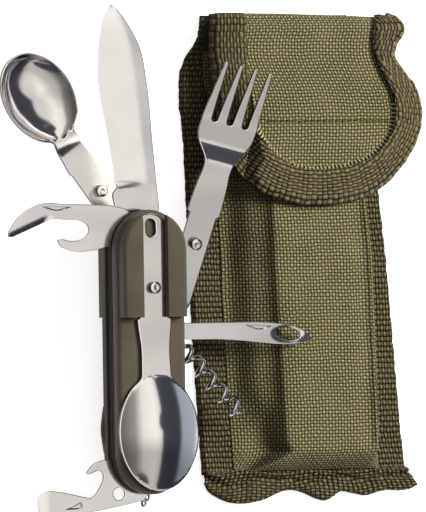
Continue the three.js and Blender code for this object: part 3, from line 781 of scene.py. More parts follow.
def can_opener():
    back = spline([(-53.5, 43.2), (-53.4, 44.6), (-51.8, 47.4), (-49.2, 50.8), (-45.3, 53.5),
                   (-40.7, 55.3), (-31, 55.1), (-21.8, 54.7), (-11.4, 54), (-7.1, 52.9)])
    hook = spline([(-14, 39.1), (-20.5, 37.8), (-25.7, 37.4), (-30.3, 38.2), (-33.5, 40.2),
                   (-34.2, 41.9)], 0.5)
    throat = spline([(-34.2, 41.9), (-32.6, 42.1), (-29.6, 41.5), (-25.7, 41.7), (-22.8, 43.2),
                     (-21.7, 45.6), (-23.1, 47.9), (-25.7, 48.9), (-30, 49.1), (-37.1, 49.2),
                     (-40.7, 47.7), (-51.8, 43.1)], 0.5)
    tang = list(reversed(arc(TOP_PIN, 5.6, -145, 69, 30)))
    outline = chain(back, [(-1, 46.8)], tang, hook, throat)
    hole = arc(TOP_PIN, PIN_HOLE, 0, 350, 35)

    def half(x, y):
        from_edge = (y - 43.1) - (x + 51.8) * 0.42
        cutting = smooth(-x, 36, 40)
        return 0.7 - 0.5 * cutting * (1 - smooth(from_edge, 0.0, 2.2))

    return plate(outline, [hole], lambda x, y: 2.0, half, 0.15, 0.8, None,
                 [crescent((-40.5, 54.2), (-28.5, 54.0), 1.5, 0.45)])


def bottle_opener():
    tip = spline([(-42.8, -57.5), (-42.9, -55), (-42.6, -52.4), (-40.7, -50.9), (-38, -50.1)], 0.5)
    nose = spline([(-38, -50.1), (-30.4, -51.5), (-24.3, -52.9), (-22, -53.2), (-20.3, -52.2),
                   (-18.5, -49.7), (-17, -46.5), (-17.2, -44.2), (-18.9, -43.3), (-20.8, -44),
                   (-22.7, -44.6)], 0.5)
    hook = spline([(-23.5, -44.2), (-22.3, -42.4), (-20.1, -40.5), (-16.6, -39.5), (-12.8, -39.6),
                   (-7, -39.4), (-1, -39.2)], 0.5)
    tang = list(reversed(arc(BOTTOM_PIN, 4.2, -60, 140, 26)))
    heel = spline([(-0.9, -54.7), (-7.4, -56.1), (-15.1, -57.5), (-24.3, -58.8), (-33, -59),
                   (-41.5, -58.5), (-42.8, -57.5)])
    outline = chain(tip, nose, hook, tang, heel)
    holes = [arc(BOTTOM_PIN, PIN_HOLE, 0, 350, 35), arc((-10.9, -52), 2.3, 0, 350, 35)]

    def half(x, y):
        return 0.6 - 0.3 * smooth(-x, 38.5, 43.5)

    wedge = [Vector(p) for p in [(-32.6, -57.4), (-29.4, -56.3), (-26.0, -54.6), (-25.4, -55.6),
                                 (-25.2, -57.0), (-28.8, -57.4)]]
    floor = [Vector((-27.2, -56.2)) + (p - Vector((-27.2, -56.2))) * 0.55 for p in wedge]
    return plate(outline, holes, lambda x, y: 0.1, half, 0.15, 0.9, None,
                 [(turning_left(wedge), turning_left(floor), 0.5)])


def awl():
    upper = spline([(66.6, 3.5), (65.1, 5.5), (61.3, 7.6), (57.5, 9), (53.7, 9.7), (49.8, 10.1),
                    (44.1, 10.5)], 0.6)
    tang = arc(MIDDLE_PIN, 3.9, 25, 300, 36)
    belly = spline([(16.2, 4.3), (30.7, 4.1), (38.4, 3.5), (46, 2.7), (51.7, 2.1), (57.5, 1.9),
                    (63.2, 2.6), (66.6, 3.5)], 0.7)
    outline = chain(upper, [(16, 10.5)], tang, belly)
    tilt = math.radians(-12)
    turn = Matrix.Rotation(tilt, 2)
    eye = [Vector((56.7, 5.9)) + turn @ Vector((5.1 * math.cos(a), 2.4 * math.sin(a)))
           for a in (2 * math.pi * step / 44 for step in range(44))]
    hole = arc(MIDDLE_PIN, PIN_HOLE, 0, 350, 35)

    def half(x, y):
        from_eye = math.hypot((x - 56.7) / 5.1, (y - 5.9) / 2.4)
        point = smooth(x, 60, 67)
        return 0.7 - 0.4 * point - 0.22 * (1 - smooth(from_eye, 1.0, 1.35))

    return plate(outline, [eye, hole], lambda x, y: 2.0, half, 0.15, 0.7, None,
                 [crescent((39.6, 9.4), (50.4, 8.8), 1.6, 0.4)])


WORM_HEADING = -49.5
WORM_AXIS = -2.75
WORM_RADIUS = 2.85
WORM_WIRE = 0.95
WORM_PITCH = 6.74
WORM_TURNS = 5.2
WORM_START = 12.6


def worm_point(turn):
    grown = smooth(turn, -0.5, 0.35)
    angle = 2 * math.pi * turn
    return Vector((WORM_START + WORM_PITCH * turn, WORM_RADIUS * grown * math.cos(angle),
                   WORM_AXIS + WORM_RADIUS * grown * math.sin(angle)))


def corkscrew():
    first = (2.6 - WORM_START) / WORM_PITCH
    steps = round((WORM_TURNS - first) * 40)
    path = [worm_point(mix(first, WORM_TURNS, step / steps)) for step in range(steps + 1)]
    length = WORM_TURNS - first

    def radius_at(share):
        return WORM_WIRE * min(1.0, 0.08 + (1 - share) * length / 0.75)

    wire = tube(path, radius_at, 18)
    hub = [(PIN_HOLE, -3.8), (3.3, -3.95), (3.6, -3.65), (3.6, 0.8), (3.3, 1.1), (PIN_HOLE, 1.1)]
    return merged(wire, ring_lathe(hub))


def ring_lathe(profile, sides=48):
    """Vertices and faces of a turned ring; profile is a closed loop of (radius, height)."""
    verts, faces = [], []
    for radius, height in profile:
        for side in range(sides):
            angle = 2 * math.pi * side / sides
            verts.append((radius * math.cos(angle), radius * math.sin(angle), height))
    for row in range(len(profile)):
        above = (row + 1) % len(profile)
        for side in range(sides):
            after = (side + 1) % sides
            faces.append((row * sides + side, row * sides + after,
                          above * sides + after, above * sides + side))
    return verts, faces


def split_ring():
    """Two close turns of wire."""
    turns, radius = 2.12, 2.0
    steps = 110
    path = []
    for step in range(steps + 1):
        share = step / steps
        angle = 2 * math.pi * turns * share + 0.6
        path.append(Vector((mix(-0.27, 0.27, smooth(share, 0.3, 0.7)), -radius + radius * math.cos(angle),
                            radius * math.sin(angle))))
    return tube(path, lambda share: 0.28, 12)


def add_folding_tools():
    for name, shape, body in (("knife_blade", knife, "knife"), ("can_opener", can_opener, "can_opener"),
                              ("bottle_opener", bottle_opener, "bottle_opener"), ("awl", awl, "awl")):
        build(name + "_ground", *shape(), HANDLE, body, BLADE, [name], "blade_steel", sharp=28)
    heading = Matrix.Rotation(math.radians(WORM_HEADING), 4, "Z")
    pivot = HANDLE @ Matrix.Translation((*MIDDLE_PIN, 0)) @ heading
    build("corkscrew_worm", *corkscrew(), pivot, "corkscrew", WIRE, ["corkscrew"], "wire_steel")
    hang = Matrix.Translation((0.8, -53.6, -3.25)) @ Matrix.Rotation(math.radians(36), 4, "X")
    build("split_ring", *split_ring(), HANDLE @ hang, "lanyard_ring", WIRE, ["lanyard_ring"],
          "wire_steel")


# ------------------------------------------------------------------ spoons and fork

SHEET_HALF = 0.65
TONGUE_HALF = 5.4
TONGUE_END = -27.4
SHOULDER = 11.2
SLOT = (-22.0, 1.8, 3.2)


def placed(position, heading, pitch=0.0):
    turn = Matrix.Rotation(math.radians(heading), 4, "Z") @ Matrix.Rotation(math.radians(pitch), 4, "X")
    return TABLE @ Matrix.Translation(position) @ turn


def tongue_slot():
    middle, half, reach = SLOT
    rise = reach - half
    top = arc((0, middle + rise), half, 0, 180, 18)
    return chain(top, [(-p.x, 2 * middle - p.y) for p in top])


def tongue_half(y):
    """Half width of the tongue, shared by the three utensils."""
    from_end = y - TONGUE_END
    if from_end < TONGUE_HALF:
        return math.sqrt(max(0.0, TONGUE_HALF ** 2 - (TONGUE_HALF - from_end) ** 2))
    return TONGUE_HALF


def two_sided(width, start, end, steps):
    """A symmetric outline from its half width along Y."""
    stations = [mix(start, end, step / steps) for step in range(steps + 1)]
    right = [Vector((width(y), y)) for y in stations if width(y) > 0.02]
    return chain([(0, start)], right, [(0, end)], [(-p.x, p.y) for p in reversed(right)])


def spoon(shank_half, waist_half, waist_at, neck_half, bowl_half, bowl_middle, bowl_reach, crown, rise,
          powers, skew=0.0):
    """A pressed spoon.

    powers shape the bowl's walls beside and at its ends: a higher one gives a flatter middle and
    steeper walls. skew moves the deepest place towards positive X.
    """
    neck_share = -math.sqrt(1 - (neck_half / bowl_half) ** 2)
    neck = bowl_middle + bowl_reach * neck_share
    end = bowl_middle + bowl_reach

    def raw_half(y):
        if y < SHOULDER:
            return tongue_half(y)
        if y < neck:
            near = mix(shank_half, waist_half, smooth(y, SHOULDER, waist_at))
            return near + (neck_half - waist_half) * smooth(y, waist_at, neck)
        share = (y - bowl_middle) / bowl_reach
        return bowl_half * math.sqrt(max(0.0, 1 - share * share))

    def half_width(y):
        if not neck - 2 < y < neck + 2:
            return raw_half(y)
        return sum(raw_half(y + nudge) for nudge in (-1.2, -0.6, 0, 0.6, 1.2)) / 5

    def middle_height(x, y):
        across = x / bowl_half
        share = (y - bowl_middle) / bowl_reach
        reach = math.hypot(across, share)
        power = mix(powers[1], powers[0], (across / max(reach, 0.01)) ** 2)
        dish = max(0.0, 1 - (reach / 0.965) ** power) if y > neck - 4 else 0.0
        dish *= 1 + skew * across
        lifted = rise * smooth(y, neck - 7, bowl_middle - bowl_reach * 0.6)
        return SHEET_HALF + crown * dish + lifted

    tongue = two_sided(half_width, TONGUE_END, end, 150)
    stations = [end - bowl_reach * (1 - math.cos(math.radians(a))) for a in (0, 3, 6, 9, 12, 16, 20, 25)]
    cap = [(half_width(y), y) for y in reversed(stations[:-1])]
    limit = stations[-1]
    body = [p for p in tongue if p.y < limit]
    right = [p for p in body if p.x >= 0]
    left = [p for p in body if p.x < 0]
    outline = chain(right, cap, [(-x, y) for x, y in reversed(cap)], left)
    return plate(filled(outline, 0.9), [tongue_slot()], middle_height, lambda x, y: SHEET_HALF, 0.35,
                 0.75, (SHOULDER, end))


FORK_AT = (24.0, 40.1, 6.8)
FORK_HEADING = -14.5
FORK_PITCH = 12.5
FORK_NECK = 31.0


def fork_height(y):
    """Height of the fork along its length: a step down at the neck, then a rise to the tips."""
    step = clamp((y - FORK_NECK) / 7.0)
    down = 2.2 * mix(step, step * step * (3 - 2 * step), 0.25)
    return 0.7 * smooth(y, 37.5, 46) + 2.1 * smooth(y, 47, 72) - down


def fork_underside(x, y):
    """Height of the fork's lower face above a point of the table, rising beside the fork."""
    half_width, start, end, slope = 12.0, 27.0, 70.0, 0.8
    away = Vector((x - FORK_AT[0], y - FORK_AT[1]))
    turn, pitch = math.radians(FORK_HEADING), math.radians(FORK_PITCH)
    across = abs(away.x * math.cos(turn) + away.y * math.sin(turn))
    place = (away.y * math.cos(turn) - away.x * math.sin(turn)) / math.cos(pitch)
    beside = max(0.0, across - half_width) + max(0.0, start - place) + max(0.0, place - end)
    return FORK_AT[2] + place * math.sin(pitch) + fork_height(place) + slope * beside


def fork():
    palm_half, neck_half, root, tips = 11.2, 5.5, 45.6, 68.5
    pitch = 6.2
    shank = [(tongue_half(y), y) for y in
             [TONGUE_END + 0.02 + 5.4 * (1 - math.cos(math.radians(a))) for a in range(3, 91, 6)]]
    side = shank + [(TONGUE_HALF, 0), (TONGUE_HALF, SHOULDER - 0.1)]
    side += list(spline([(6.5, SHOULDER + 0.3), (6.4, 16), (6.0, 23), (neck_half, 29),
                         (5.9, 31.5), (7.6, 34.4), (9.7, 37.6), (11.0, 41), (palm_half, 44.5)], 0.7))
    tine_runs = []
    for tine in range(3, -1, -1):
        centre = (tine - 1.5) * pitch
        tip_centre = centre * 0.96
        outer = [(centre + 1.9, root + 1.2), (tip_centre + 0.75, tips - 0.7)]
        cap = arc((tip_centre, tips - 0.72), 0.72, 0, 180, 10)
        inner = [(tip_centre - 0.75, tips - 0.7), (centre - 1.9, root + 1.2)]
        tine_runs += [outer, cap, inner]
        if tine:
            between = centre - pitch / 2
            tine_runs.append(arc((between, root + 1.2), pitch / 2 - 1.9, 0, -180, 12))
    left = [(-x, y) for x, y in reversed(side)]
    outline = chain([(0, TONGUE_END)], side, *tine_runs, left)
    return plate(filled(outline, 0.9), [tongue_slot()], lambda x, y: SHEET_HALF + fork_height(y),
                 lambda x, y: SHEET_HALF, 0.3, 0.8, (SHOULDER, tips))


def stud():
    """A riveted stud: shank, wide rounded head, and a small turned dimple."""
    return lathe([(1.0, 0.0), (1.0, 1.5), (2.0, 1.5), (2.2, 1.75), (2.2, 3.6), (2.05, 3.95),
                  (1.75, 4.12), (1.2, 4.2), (0.8, 4.16), (0.6, 4.0), (0.25, 3.95)])


def add_utensils():
    large = spoon(6.75, 5.7, 24.0, 5.9, 15.8, 53.5, 21.5, 6.4, 0.0, (2.0, 2.0), 0.2)
    small = spoon(5.9, 5.2, 20.0, 4.8, 13.5, 42.8, 18.2, -4.7, 4.8, (2.7, 6.5))
    sets = [
        ("large_spoon", large, placed((0.2, 23.8, MID_PLANE + COVER_FACE + 0.15), 181.5)),
        ("small_spoon", small, placed((-10.8, 59.8, 0.1), 36.2)),
        ("fork", fork(), placed(FORK_AT, FORK_HEADING, FORK_PITCH)),
    ]
    for name, shape, matrix in sets:
        build(name + "_sheet", *shape, matrix, name, POLISHED, [name], "cutlery_steel", sharp=28)
        build(name + "_rivet", *stud(), matrix, name, POLISHED, [name + "_stud"], "pin_steel")


# ------------------------------------------------------------------ belt pouch

LEFT_EDGE = [(-57, 29.5), (-46, 28.1), (7, 24.9), (73, 22.9), (84, 22.2), (92, 21.3), (98, 21.2),
             (104, 21.9), (109, 24), (113, 27), (117, 29.4), (125, 30.4)]
LEFT_INNER = [(-57, 41.6), (-46, 40.6), (7, 37.4), (73, 35.4), (90, 33.2), (98, 31.2), (106, 30.4),
              (125, 31.8)]
RIGHT_INNER = [(-46, 98.8), (-32, 96.8), (34, 95.2), (60, 92.6), (125, 87.5)]
RIGHT_EDGE = [(-46, 110.6), (-32, 109.1), (34, 104.1), (60, 101.3), (125, 97)]
LEFT_FOLD = [(-45.2, 49), (-38, 60.4), (-35, 58.6), (-28, 57.9), (35.5, 54.5), (125, 52)]
RIGHT_FOLD = [(-45, 94), (-38, 95), (-32, 95.2), (34, 93.4), (60, 90.8), (125, 85.5)]
BODY_TOP = 11.8
BODY_LOW = 2.5


def run_lengths(points):
    """Distance from a polyline's start to each of its points."""
    total = [0.0]
    for a, b in zip(points, points[1:]):
        total.append(total[-1] + (b - a).length)
    return total


def resampled(points, count):
    """The polyline as count evenly spaced points."""
    lengths = run_lengths(points)
    result = []
    place = 0
    for step in range(count):
        target = lengths[-1] * step / (count - 1)
        while place < len(lengths) - 2 and lengths[place + 1] < target:
            place += 1
        span = max(lengths[place + 1] - lengths[place], 1e-9)
        result.append(points[place].lerp(points[place + 1], (target - lengths[place]) / span))
    return result


def wave(x, y, scale, seed=0.0):
    """Smooth noise from -1 to 1 over a length scale in millimetres."""
    return noise.noise(Vector((x / scale, y / scale, seed)))


def body_section(y):
    """The outer face of the pouch's body across one Y, from the left tape to the right one."""
    left, right = along(LEFT_INNER, y), along(RIGHT_INNER, y)
    fold_l, fold_r = along(LEFT_FOLD, y), along(RIGHT_FOLD, y)
    height = clamp((y + 45.6) / 8.2)
    height = 0.06 + 0.94 * (1 - (1 - height) ** 1.7)
    top = BODY_LOW + (BODY_TOP - BODY_LOW) * height
    pleat = smooth(-y, 12, 38)
    half_way = (mix(mix(left, fold_l, 0.5), fold_l - 3.6, pleat * 0.6),
                mix(BODY_LOW, top, mix(0.48, 0.3, pleat)))
    middle = (fold_l + fold_r) / 2
    bulge = 0.55 * smooth(y, -40, -10) * (1 - smooth(y, 40, 62)) - 0.35 * smooth(y, 80, 105)
    ridge = 0.45 * smooth(y, -40, -34)
    knots = [
        (left, 0.0, BODY_LOW), (left + 2.2, 0.0, BODY_LOW + 0.5 * height),
        (half_way[0], 0.0, half_way[1]), (fold_l - 1.3, 0.0, top - 1.5 * height),
        (fold_l, 0.0, top - 0.35 * height), (fold_l + 1.8, 0.0, top),
        (mix(fold_l, middle, 0.6), 0.0, top + bulge * 0.8), (middle, 0.0, top + bulge),
        (mix(fold_r, middle, 0.5), 0.0, top + bulge * 0.7), (fold_r - 1.5, 0.0, top),
        (fold_r - 0.6, 0.0, top + ridge), (fold_r + 0.1, 0.0, top + ridge * 0.6),
        (fold_r + 0.5, 0.0, top - 1.2 * height), (right, 0.0, BODY_LOW + 1.2),
        (right + 0.1, 0.0, BODY_LOW),
    ]
    points = resampled(spline(knots, 0.8), 112)
    for point in points:
        point.y = y
        lift = smooth(point.z, BODY_LOW + 0.2, BODY_LOW + 2.5)
        point.z += lift * (0.35 * wave(point.x, y, 17, 3.1) + 0.18 * wave(point.x, y, 7, 8.2))
    return points


def measured(rows):
    """Width and length of a grid of points along its middle lines, in metres."""
    middle = rows[len(rows) // 2]
    width = sum((b - a).length for a, b in zip(middle, middle[1:]))
    column = [row[len(row) // 2] for row in rows]
    length = sum((b - a).length for a, b in zip(column, column[1:]))
    return width * MM, length * MM


def grid_area(rows):
    total = 0.0
    for low, high in zip(rows, rows[1:]):
        for a, b, c, d in zip(low, low[1:], high, high[1:]):
            total += (b - a).cross(c - a).length / 2 + (b - d).cross(c - d).length / 2
    return total * MM * MM


def cloth(name, rows, thickness, material, slot, replaces=()):
    """A sheet of cloth from a grid of points, with its weave laid in millimetres."""
    across = [run_lengths(row) for row in rows]
    centre = [lengths[len(lengths) // 2] for lengths in across]
    column = [row[len(row) // 2] for row in rows]
    down = run_lengths(column)

    def place(r, c):
        return across[r][c] - centre[r], down[r]

    verts, faces, uvs = cloth_shell(rows, thickness, place)
    piece = build(name, verts, faces, TABLE, "pouch", material, replaces, slot, 60, uvs)
    width, length = measured(rows)
    area = grid_area(rows)
    return piece


def add_body():
    """The raised body, its rows closer together over the rounded lower end."""
    stations = [-45.4 + 0.45 * step for step in range(20)] + [-36.2 + 1.15 * step for step in range(130)]
    rows = [body_section(y) for y in stations if y <= 112]
    cloth("pouch_front", rows, 1.0, CLOTH, "pouch_cloth", ["pouch_body"])


def add_back():
    """The back panel, whose upper face is the pouch's dark coated lining. Near black and widened at the
    top, it also stands as painted shade in the deep gap beneath the flap's left edge.
    """
    rows = []
    for step in range(90):
        y = mix(-45, 124.6, step / 89)
        # Widened past the left tape at the top, so the near-black lining fills the gap there as painted
        # shade.
        inset = mix(0.4, -1.5, smooth(y, 90, 98))
        left, right = along(LEFT_INNER, y) + inset, along(RIGHT_INNER, y) - inset
        rows.append([Vector((mix(left, right, c / 30), y, 1.5 + 0.5 * smooth(y, 90, 98)))
                     for c in range(31)])
    cloth("pouch_back", rows, 0.9, LINING_AND_GAP_SHADE, "pouch_cloth", ["pouch_back_panel"])


FLAP_OUTER = [
    (31.9, 124.2), (31.2, 119), (30.9, 113.2), (31.5, 105.4), (32.3, 96), (33.2, 86), (34.8, 76),
    (38.1, 68.6), (47, 60.9), (57.3, 56.5), (66.5, 54.9), (77.6, 55.1), (87.7, 56.9), (96.9, 61.5),
    (104.2, 68.1), (110.8, 77.4), (113.3, 86.3), (111.3, 95.6), (105.4, 103.0), (101.6, 108.6),
    (102.6, 114.0), (105.6, 118.8), (104.2, 121.8), (100.5, 123.4)]
FLAP_INNER = [
    (43.2, 124.0), (42.9, 119), (42.6, 113), (42.9, 105.2), (44.0, 97), (45.2, 89.5), (46.6, 84),
    (48.6, 79), (53.0, 72.8), (59.8, 68.3), (67.5, 66.3), (76.6, 66.4), (85.6, 67.9), (93.2, 70.9),
    (98.3, 75.2), (102.0, 81.0), (103.4, 88.0), (102.2, 95.4), (98.4, 103.0), (95.6, 109.4),
    (94.9, 114.4), (95.3, 118.8), (96.6, 121.6), (97.0, 123.2)]
FLAP_TOP_EDGE = [(30, 124.6), (60, 124.2), (85, 123.4), (106, 122.4)]
FLAP_CREASE = 123.2
STITCH_LINE = 84.6
FLAP_TAPE_DEPTH = 1.9
TAPE_ROW = 0.42
RIB_PITCH = 2.0


def flap_height(x, y):
    """Upper face of the flap's cloth."""
    sag = 3.4 * (max(0.0, 54 - x) / 22) ** 2 + 2.2 * (max(0.0, x - 90) / 22) ** 2
    swell = 0.35 * wave(x, y, 24, 1.7) + 0.15 * wave(x, y, 9, 5.3)
    groove = 0.35 * math.exp(-((y - STITCH_LINE) / 0.55) ** 2)
    roll = 1.0 - smooth(y, 119.0, 125.2) * 0.25
    pressed = 1.1 * math.exp(-((x - 42) / 9) ** 2 - ((y - 74) / 9) ** 2)
    return (14.1 - sag + swell - groove - pressed) * roll


def curve_pairs(outer, inner, per_span=10):
    """Matching points on two curves that run side by side."""
    def fixed(points):
        result = []
        for span in range(len(points) - 1):
            knots = knots_around(points, span)
            result += [catmull(knots, step / per_span) for step in range(per_span)]
        result.append(Vector(points[-1]))
        return result
    return list(zip(fixed(outer), fixed(inner)))


def crossings(curve, y):
    """Leftmost and rightmost X where a curve of points crosses Y."""
    found = []
    for a, b in zip(curve, curve[1:]):
        if (a.y - y) * (b.y - y) <= 0 and abs(a.y - b.y) > 1e-6:
            found.append(mix(a.x, b.x, (y - a.y) / (b.y - a.y)))
    return (min(found), max(found)) if found else None


def add_flap():
    pairs = curve_pairs(FLAP_OUTER, FLAP_INNER)
    middle_line = [outer.lerp(inner, 0.55) for outer, inner in pairs]
    lowest = min(point.y for point in middle_line)
    stations = [lowest + 0.05 + 1.6 * (step / 12) ** 1.6 for step in range(13)]
    stations += [mix(lowest + 2.6, FLAP_CREASE, step / 84) for step in range(85)]
    rows = []
    for y in stations:
        reach = crossings(middle_line, y)
        if reach is None:
            continue
        left, right = reach
        rows.append([Vector((mix(left, right, c / 76), y, 0)) for c in range(77)])
    for row in rows:
        for point in row:
            point.z = flap_height(point.x, point.y)
    top = rows[-1]
    for angle in range(12, 181, 12):
        a = math.radians(angle)
        rolled = []
        for point in top:
            crest = point.z
            depth = (crest - 1.6) / 2
            edge = along(FLAP_TOP_EDGE, point.x) - FLAP_CREASE
            rolled.append(Vector((point.x, FLAP_CREASE + (edge + 0.9) * math.sin(a),
                                  crest - depth * (1 - math.cos(a)))))
        rows.append(rolled)
    cloth("pouch_flap_cloth", rows, 1.0, CLOTH, "pouch_cloth", ["pouch_flap"])
    add_flap_tape(pairs)
    add_flap_stitches(pairs)


def rib(run):
    """Height of a tape's crosswise ribs, from 0 to 1, at a distance along it."""
    return abs(math.sin(math.pi * run / RIB_PITCH))


def add_flap_tape(pairs):
    """Webbing folded round the flap's edge, with ribs across it."""
    across = 14
    middle = [outer.lerp(inner, 0.5) for outer, inner in pairs]
    travelled = run_lengths(middle)
    length = travelled[-1]
    count = int(length / TAPE_ROW)
    rows, runs = [], []
    place = 0
    for step in range(count + 1):
        target = length * step / count
        while place < len(travelled) - 2 and travelled[place + 1] < target:
            place += 1
        share = (target - travelled[place]) / max(travelled[place + 1] - travelled[place], 1e-9)
        outer = pairs[place][0].lerp(pairs[place + 1][0], share)
        inner = pairs[place][1].lerp(pairs[place + 1][1], share)
        ear = smooth(target, length - 22, length - 8)
        row = []
        for c in range(across + 1):
            part = c / across
            flat = outer.lerp(inner, part)
            wobble = 0.35 * wave(target, part * 3, 3.2, 2.0)
            crown = 1.25 * min(1.0, math.sqrt(clamp(1 - (1 - min(1.0, part / 0.16)) ** 2)) + 0.05)
            crown *= 1 - 0.35 * smooth(part, 0.86, 1.0)
            ridge = 0.26 * rib(target) * (1 - 0.5 * smooth(part, 0.85, 1.0))
            z = flap_height(flat.x, flat.y) + crown - 0.45 + ridge + wobble * 0.4
            z += ear * (1.6 * (1 - part) - 0.6)
            z = min(z, fork_underside(flat.x, flat.y) - FLAP_TAPE_DEPTH - 0.35)
            way = (outer - inner).normalized() * (0.3 * wave(target, 0.0, 2.4, 7.0) * (1 - part))
            row.append(Vector((flat.x + way.x, flat.y + way.y, z)))
        rows.append(row)
        runs.append(target)
    reaches = [(row[-1] - row[0]).length for row in rows]

    def place_uv(r, c):
        return reaches[r] * c / across, runs[r]

    verts, faces, uvs = cloth_shell(rows, FLAP_TAPE_DEPTH, place_uv)
    piece = build("pouch_flap_tape", verts, faces, TABLE, "pouch", TAPE, (), "binding_tape", 70, uvs)


def stitch(start, end, lift, radius=0.22):
    """One stitch: a thread that rises out of the cloth and dips back into it."""
    steps = 6
    path = []
    for step in range(steps + 1):
        share = step / steps
        point = start.lerp(end, share)
        path.append(point + Vector((0, 0, lift * math.sin(math.pi * share) - 0.12)))

    def radius_at(share):
        return radius * (0.55 + 0.45 * math.sin(math.pi * clamp(share, 0.05, 0.95)))

    return tube(path, radius_at, 6)


def add_flap_stitches(pairs):
    """Satin stitches over the tape's inner edge, a near-black tube under them as painted shadow, and a
    running line of dark thread on the flap.
    """
    satin, dark = [], []
    inner = [pair[1] for pair in pairs]
    travelled = run_lengths(inner)
    shadow_path = []
    place = 0
    target = 30.0
    while target < travelled[-1] - 34:
        while travelled[place + 1] < target:
            place += 1
        share = (target - travelled[place]) / (travelled[place + 1] - travelled[place])
        inner_point = inner[place].lerp(inner[place + 1], share)
        way = (inner_point - pairs[place][0]).normalized()
        side = Vector((-way.y, way.x)) * 0.35
        ends = []
        for reach, shift, lift in ((-1.7, -side, 0.8), (1.7, side, 0.15)):
            spot = inner_point + way * reach + shift
            ends.append(Vector((spot.x, spot.y, flap_height(spot.x, spot.y) + lift)))
        satin.append(stitch(ends[0], ends[1], 0.55, 0.36))
        middle = inner_point + way * 0.25
        shadow_path.append(Vector((middle.x, middle.y, flap_height(middle.x, middle.y) + 0.28)))
        target += 1.6
    # A near-black tube along the tape's inner edge under the satin stitches: painted shadow for the gap
    # there.
    dark.append(tube(shadow_path, lambda share: 0.62, 8))
    x = 51.0
    while x < 101.0:
        slant = 0.25 * wave(x, 0, 6, 4.0)
        start = Vector((x, STITCH_LINE + slant, 0))
        end = Vector((x + 1.9, STITCH_LINE + slant, 0))
        for spot in (start, end):
            spot.z = flap_height(spot.x, spot.y) + 0.1
        dark.append(stitch(start, end, 0.3, 0.26))
        x += 2.5
    build("pouch_flap_stitches", *merged(*satin), TABLE, "pouch", THREAD, (), "binding_tape", 60)
    build("pouch_flap_dashes_and_painted_shadow", *merged(*dark), TABLE, "pouch", DARK_THREAD_AND_SHADOW, (), "binding_tape", 60)


def side_tape(name, outer, inner, node_name, low, high):
    """Webbing folded round one side of the pouch, ribbed across and slightly puckered."""
    across = 16
    steps = int((high - low) / TAPE_ROW)
    rows = []
    for step in range(steps + 1):
        y = mix(low, high, step / steps)
        first, last = along(outer, y), along(inner, y)
        pucker = 0.35 * wave(0.0, y, 3.4, 6.0)
        row = []
        for c in range(across + 1):
            part = c / across
            x = mix(first, last, part) + (1 - part) * pucker * (1 if last < first else -1)
            round_out = math.sqrt(clamp(1 - (1 - min(1.0, part / 0.14)) ** 2))
            z = 0.55 + 1.45 * round_out - 0.25 * smooth(part, 0.9, 1.0)
            z += 0.26 * rib(y) + 0.2 * wave(part * 6, y, 4.0, 9.0)
            row.append(Vector((x, y, clamp(z, 0.45, 2.38))))
        rows.append(row if first < last else list(reversed(row)))

    widths = [(row[-1] - row[0]).length for row in rows]

    def place_uv(r, c):
        return widths[r] * c / across, rows[r][0].y

    verts, faces, uvs = cloth_shell(rows, lambda r, c: max(0.3, rows[r][c].z - 0.15), place_uv)
    piece = build(name, verts, faces, TABLE, "pouch", TAPE, [node_name], "binding_tape", 70, uvs)


BOTTOM_EDGE = [(28.6, -49.5), (30.4, -52.6), (32.9, -54.4), (37.5, -56.6), (43.2, -57.4), (48.5, -57.0),
               (53.6, -55.9), (57.6, -54.2), (61, -53.1), (64.5, -52.9), (68.5, -54.0), (73.5, -56.3),
               (78, -57.1), (81, -55.6), (83.5, -54.0), (88.5, -54.6), (94.4, -55.6), (98.5, -54.5),
               (102.6, -53.8), (108, -54.0), (113.0, -53.4), (115.4, -52.2)]


def add_bottom_tape():
    """The gathered tape along the bottom: it waves, with a crease along its middle."""
    across = 26
    count = 210
    edge = resampled([Vector(p) for p in spline(BOTTOM_EDGE, 0.5)], count)
    rows = []
    for step in range(count):
        low = edge[step]
        share = step / (count - 1)
        x_top = mix(29.6, 110.5, share)
        y_top = -44.4 - 0.5 * math.sin(share * 19 + 0.6) - 0.3 * smooth(share, 0.0, 0.1)
        bulge = clamp((-low.y - 52.6) / 4.6)
        row = []
        for c in range(across + 1):
            part = c / across
            x, y = mix(x_top, low.x, part), mix(y_top, low.y, part)
            fold = math.exp(-((part - 0.42 - 0.1 * math.sin(share * 17)) / 0.085) ** 2)
            upper = math.exp(-((part - 0.16 - 0.05 * math.sin(share * 23)) / 0.1) ** 2)
            z = 2.0 + 1.1 * upper - 1.15 * fold + 0.7 * bulge * smooth(part, 0.5, 0.75)
            z += 0.55 * wave(x, part * 4, 5.0, 11.0) * smooth(part, 0.0, 0.2)
            z += 0.24 * rib(x)
            edge_drop = smooth(part, 0.9, 1.0) * 1.0
            row.append(Vector((x, y, clamp(z - edge_drop, 0.7, 4.2))))
        rows.append(row)
    runs = run_lengths([row[across // 2] for row in rows])

    def place_uv(r, c):
        return (rows[r][c] - rows[r][0]).length, runs[r]

    verts, faces, uvs = cloth_shell(rows, lambda r, c: 0.55, place_uv)
    flat_width = sum(run_lengths(row)[-1] for row in rows) / len(rows)
    piece = build("pouch_bottom_tape", verts, faces, TABLE, "pouch", TAPE, ["bottom_binding"],
                  "binding_tape", 70, uvs)


def add_belt_loop():
    """A strap of webbing sewn across the back."""
    low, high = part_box("belt_loop")
    low, high = (TABLE.inverted() @ Vector(corner) for corner in (low, high))
    rows = []
    for step in range(150):
        y = mix(low.y + 0.3, high.y - 0.3, step / 149)
        rows.append([Vector((mix(low.x, high.x, c / 20), y, 1.12)) for c in range(21)])
    verts, faces, uvs = cloth_shell(rows, 1.05, lambda r, c: (rows[r][c].x, rows[r][c].y))
    piece = build("belt_webbing", verts, faces, TABLE, "pouch", TAPE, ["belt_loop"], "binding_tape",
                  60, uvs)


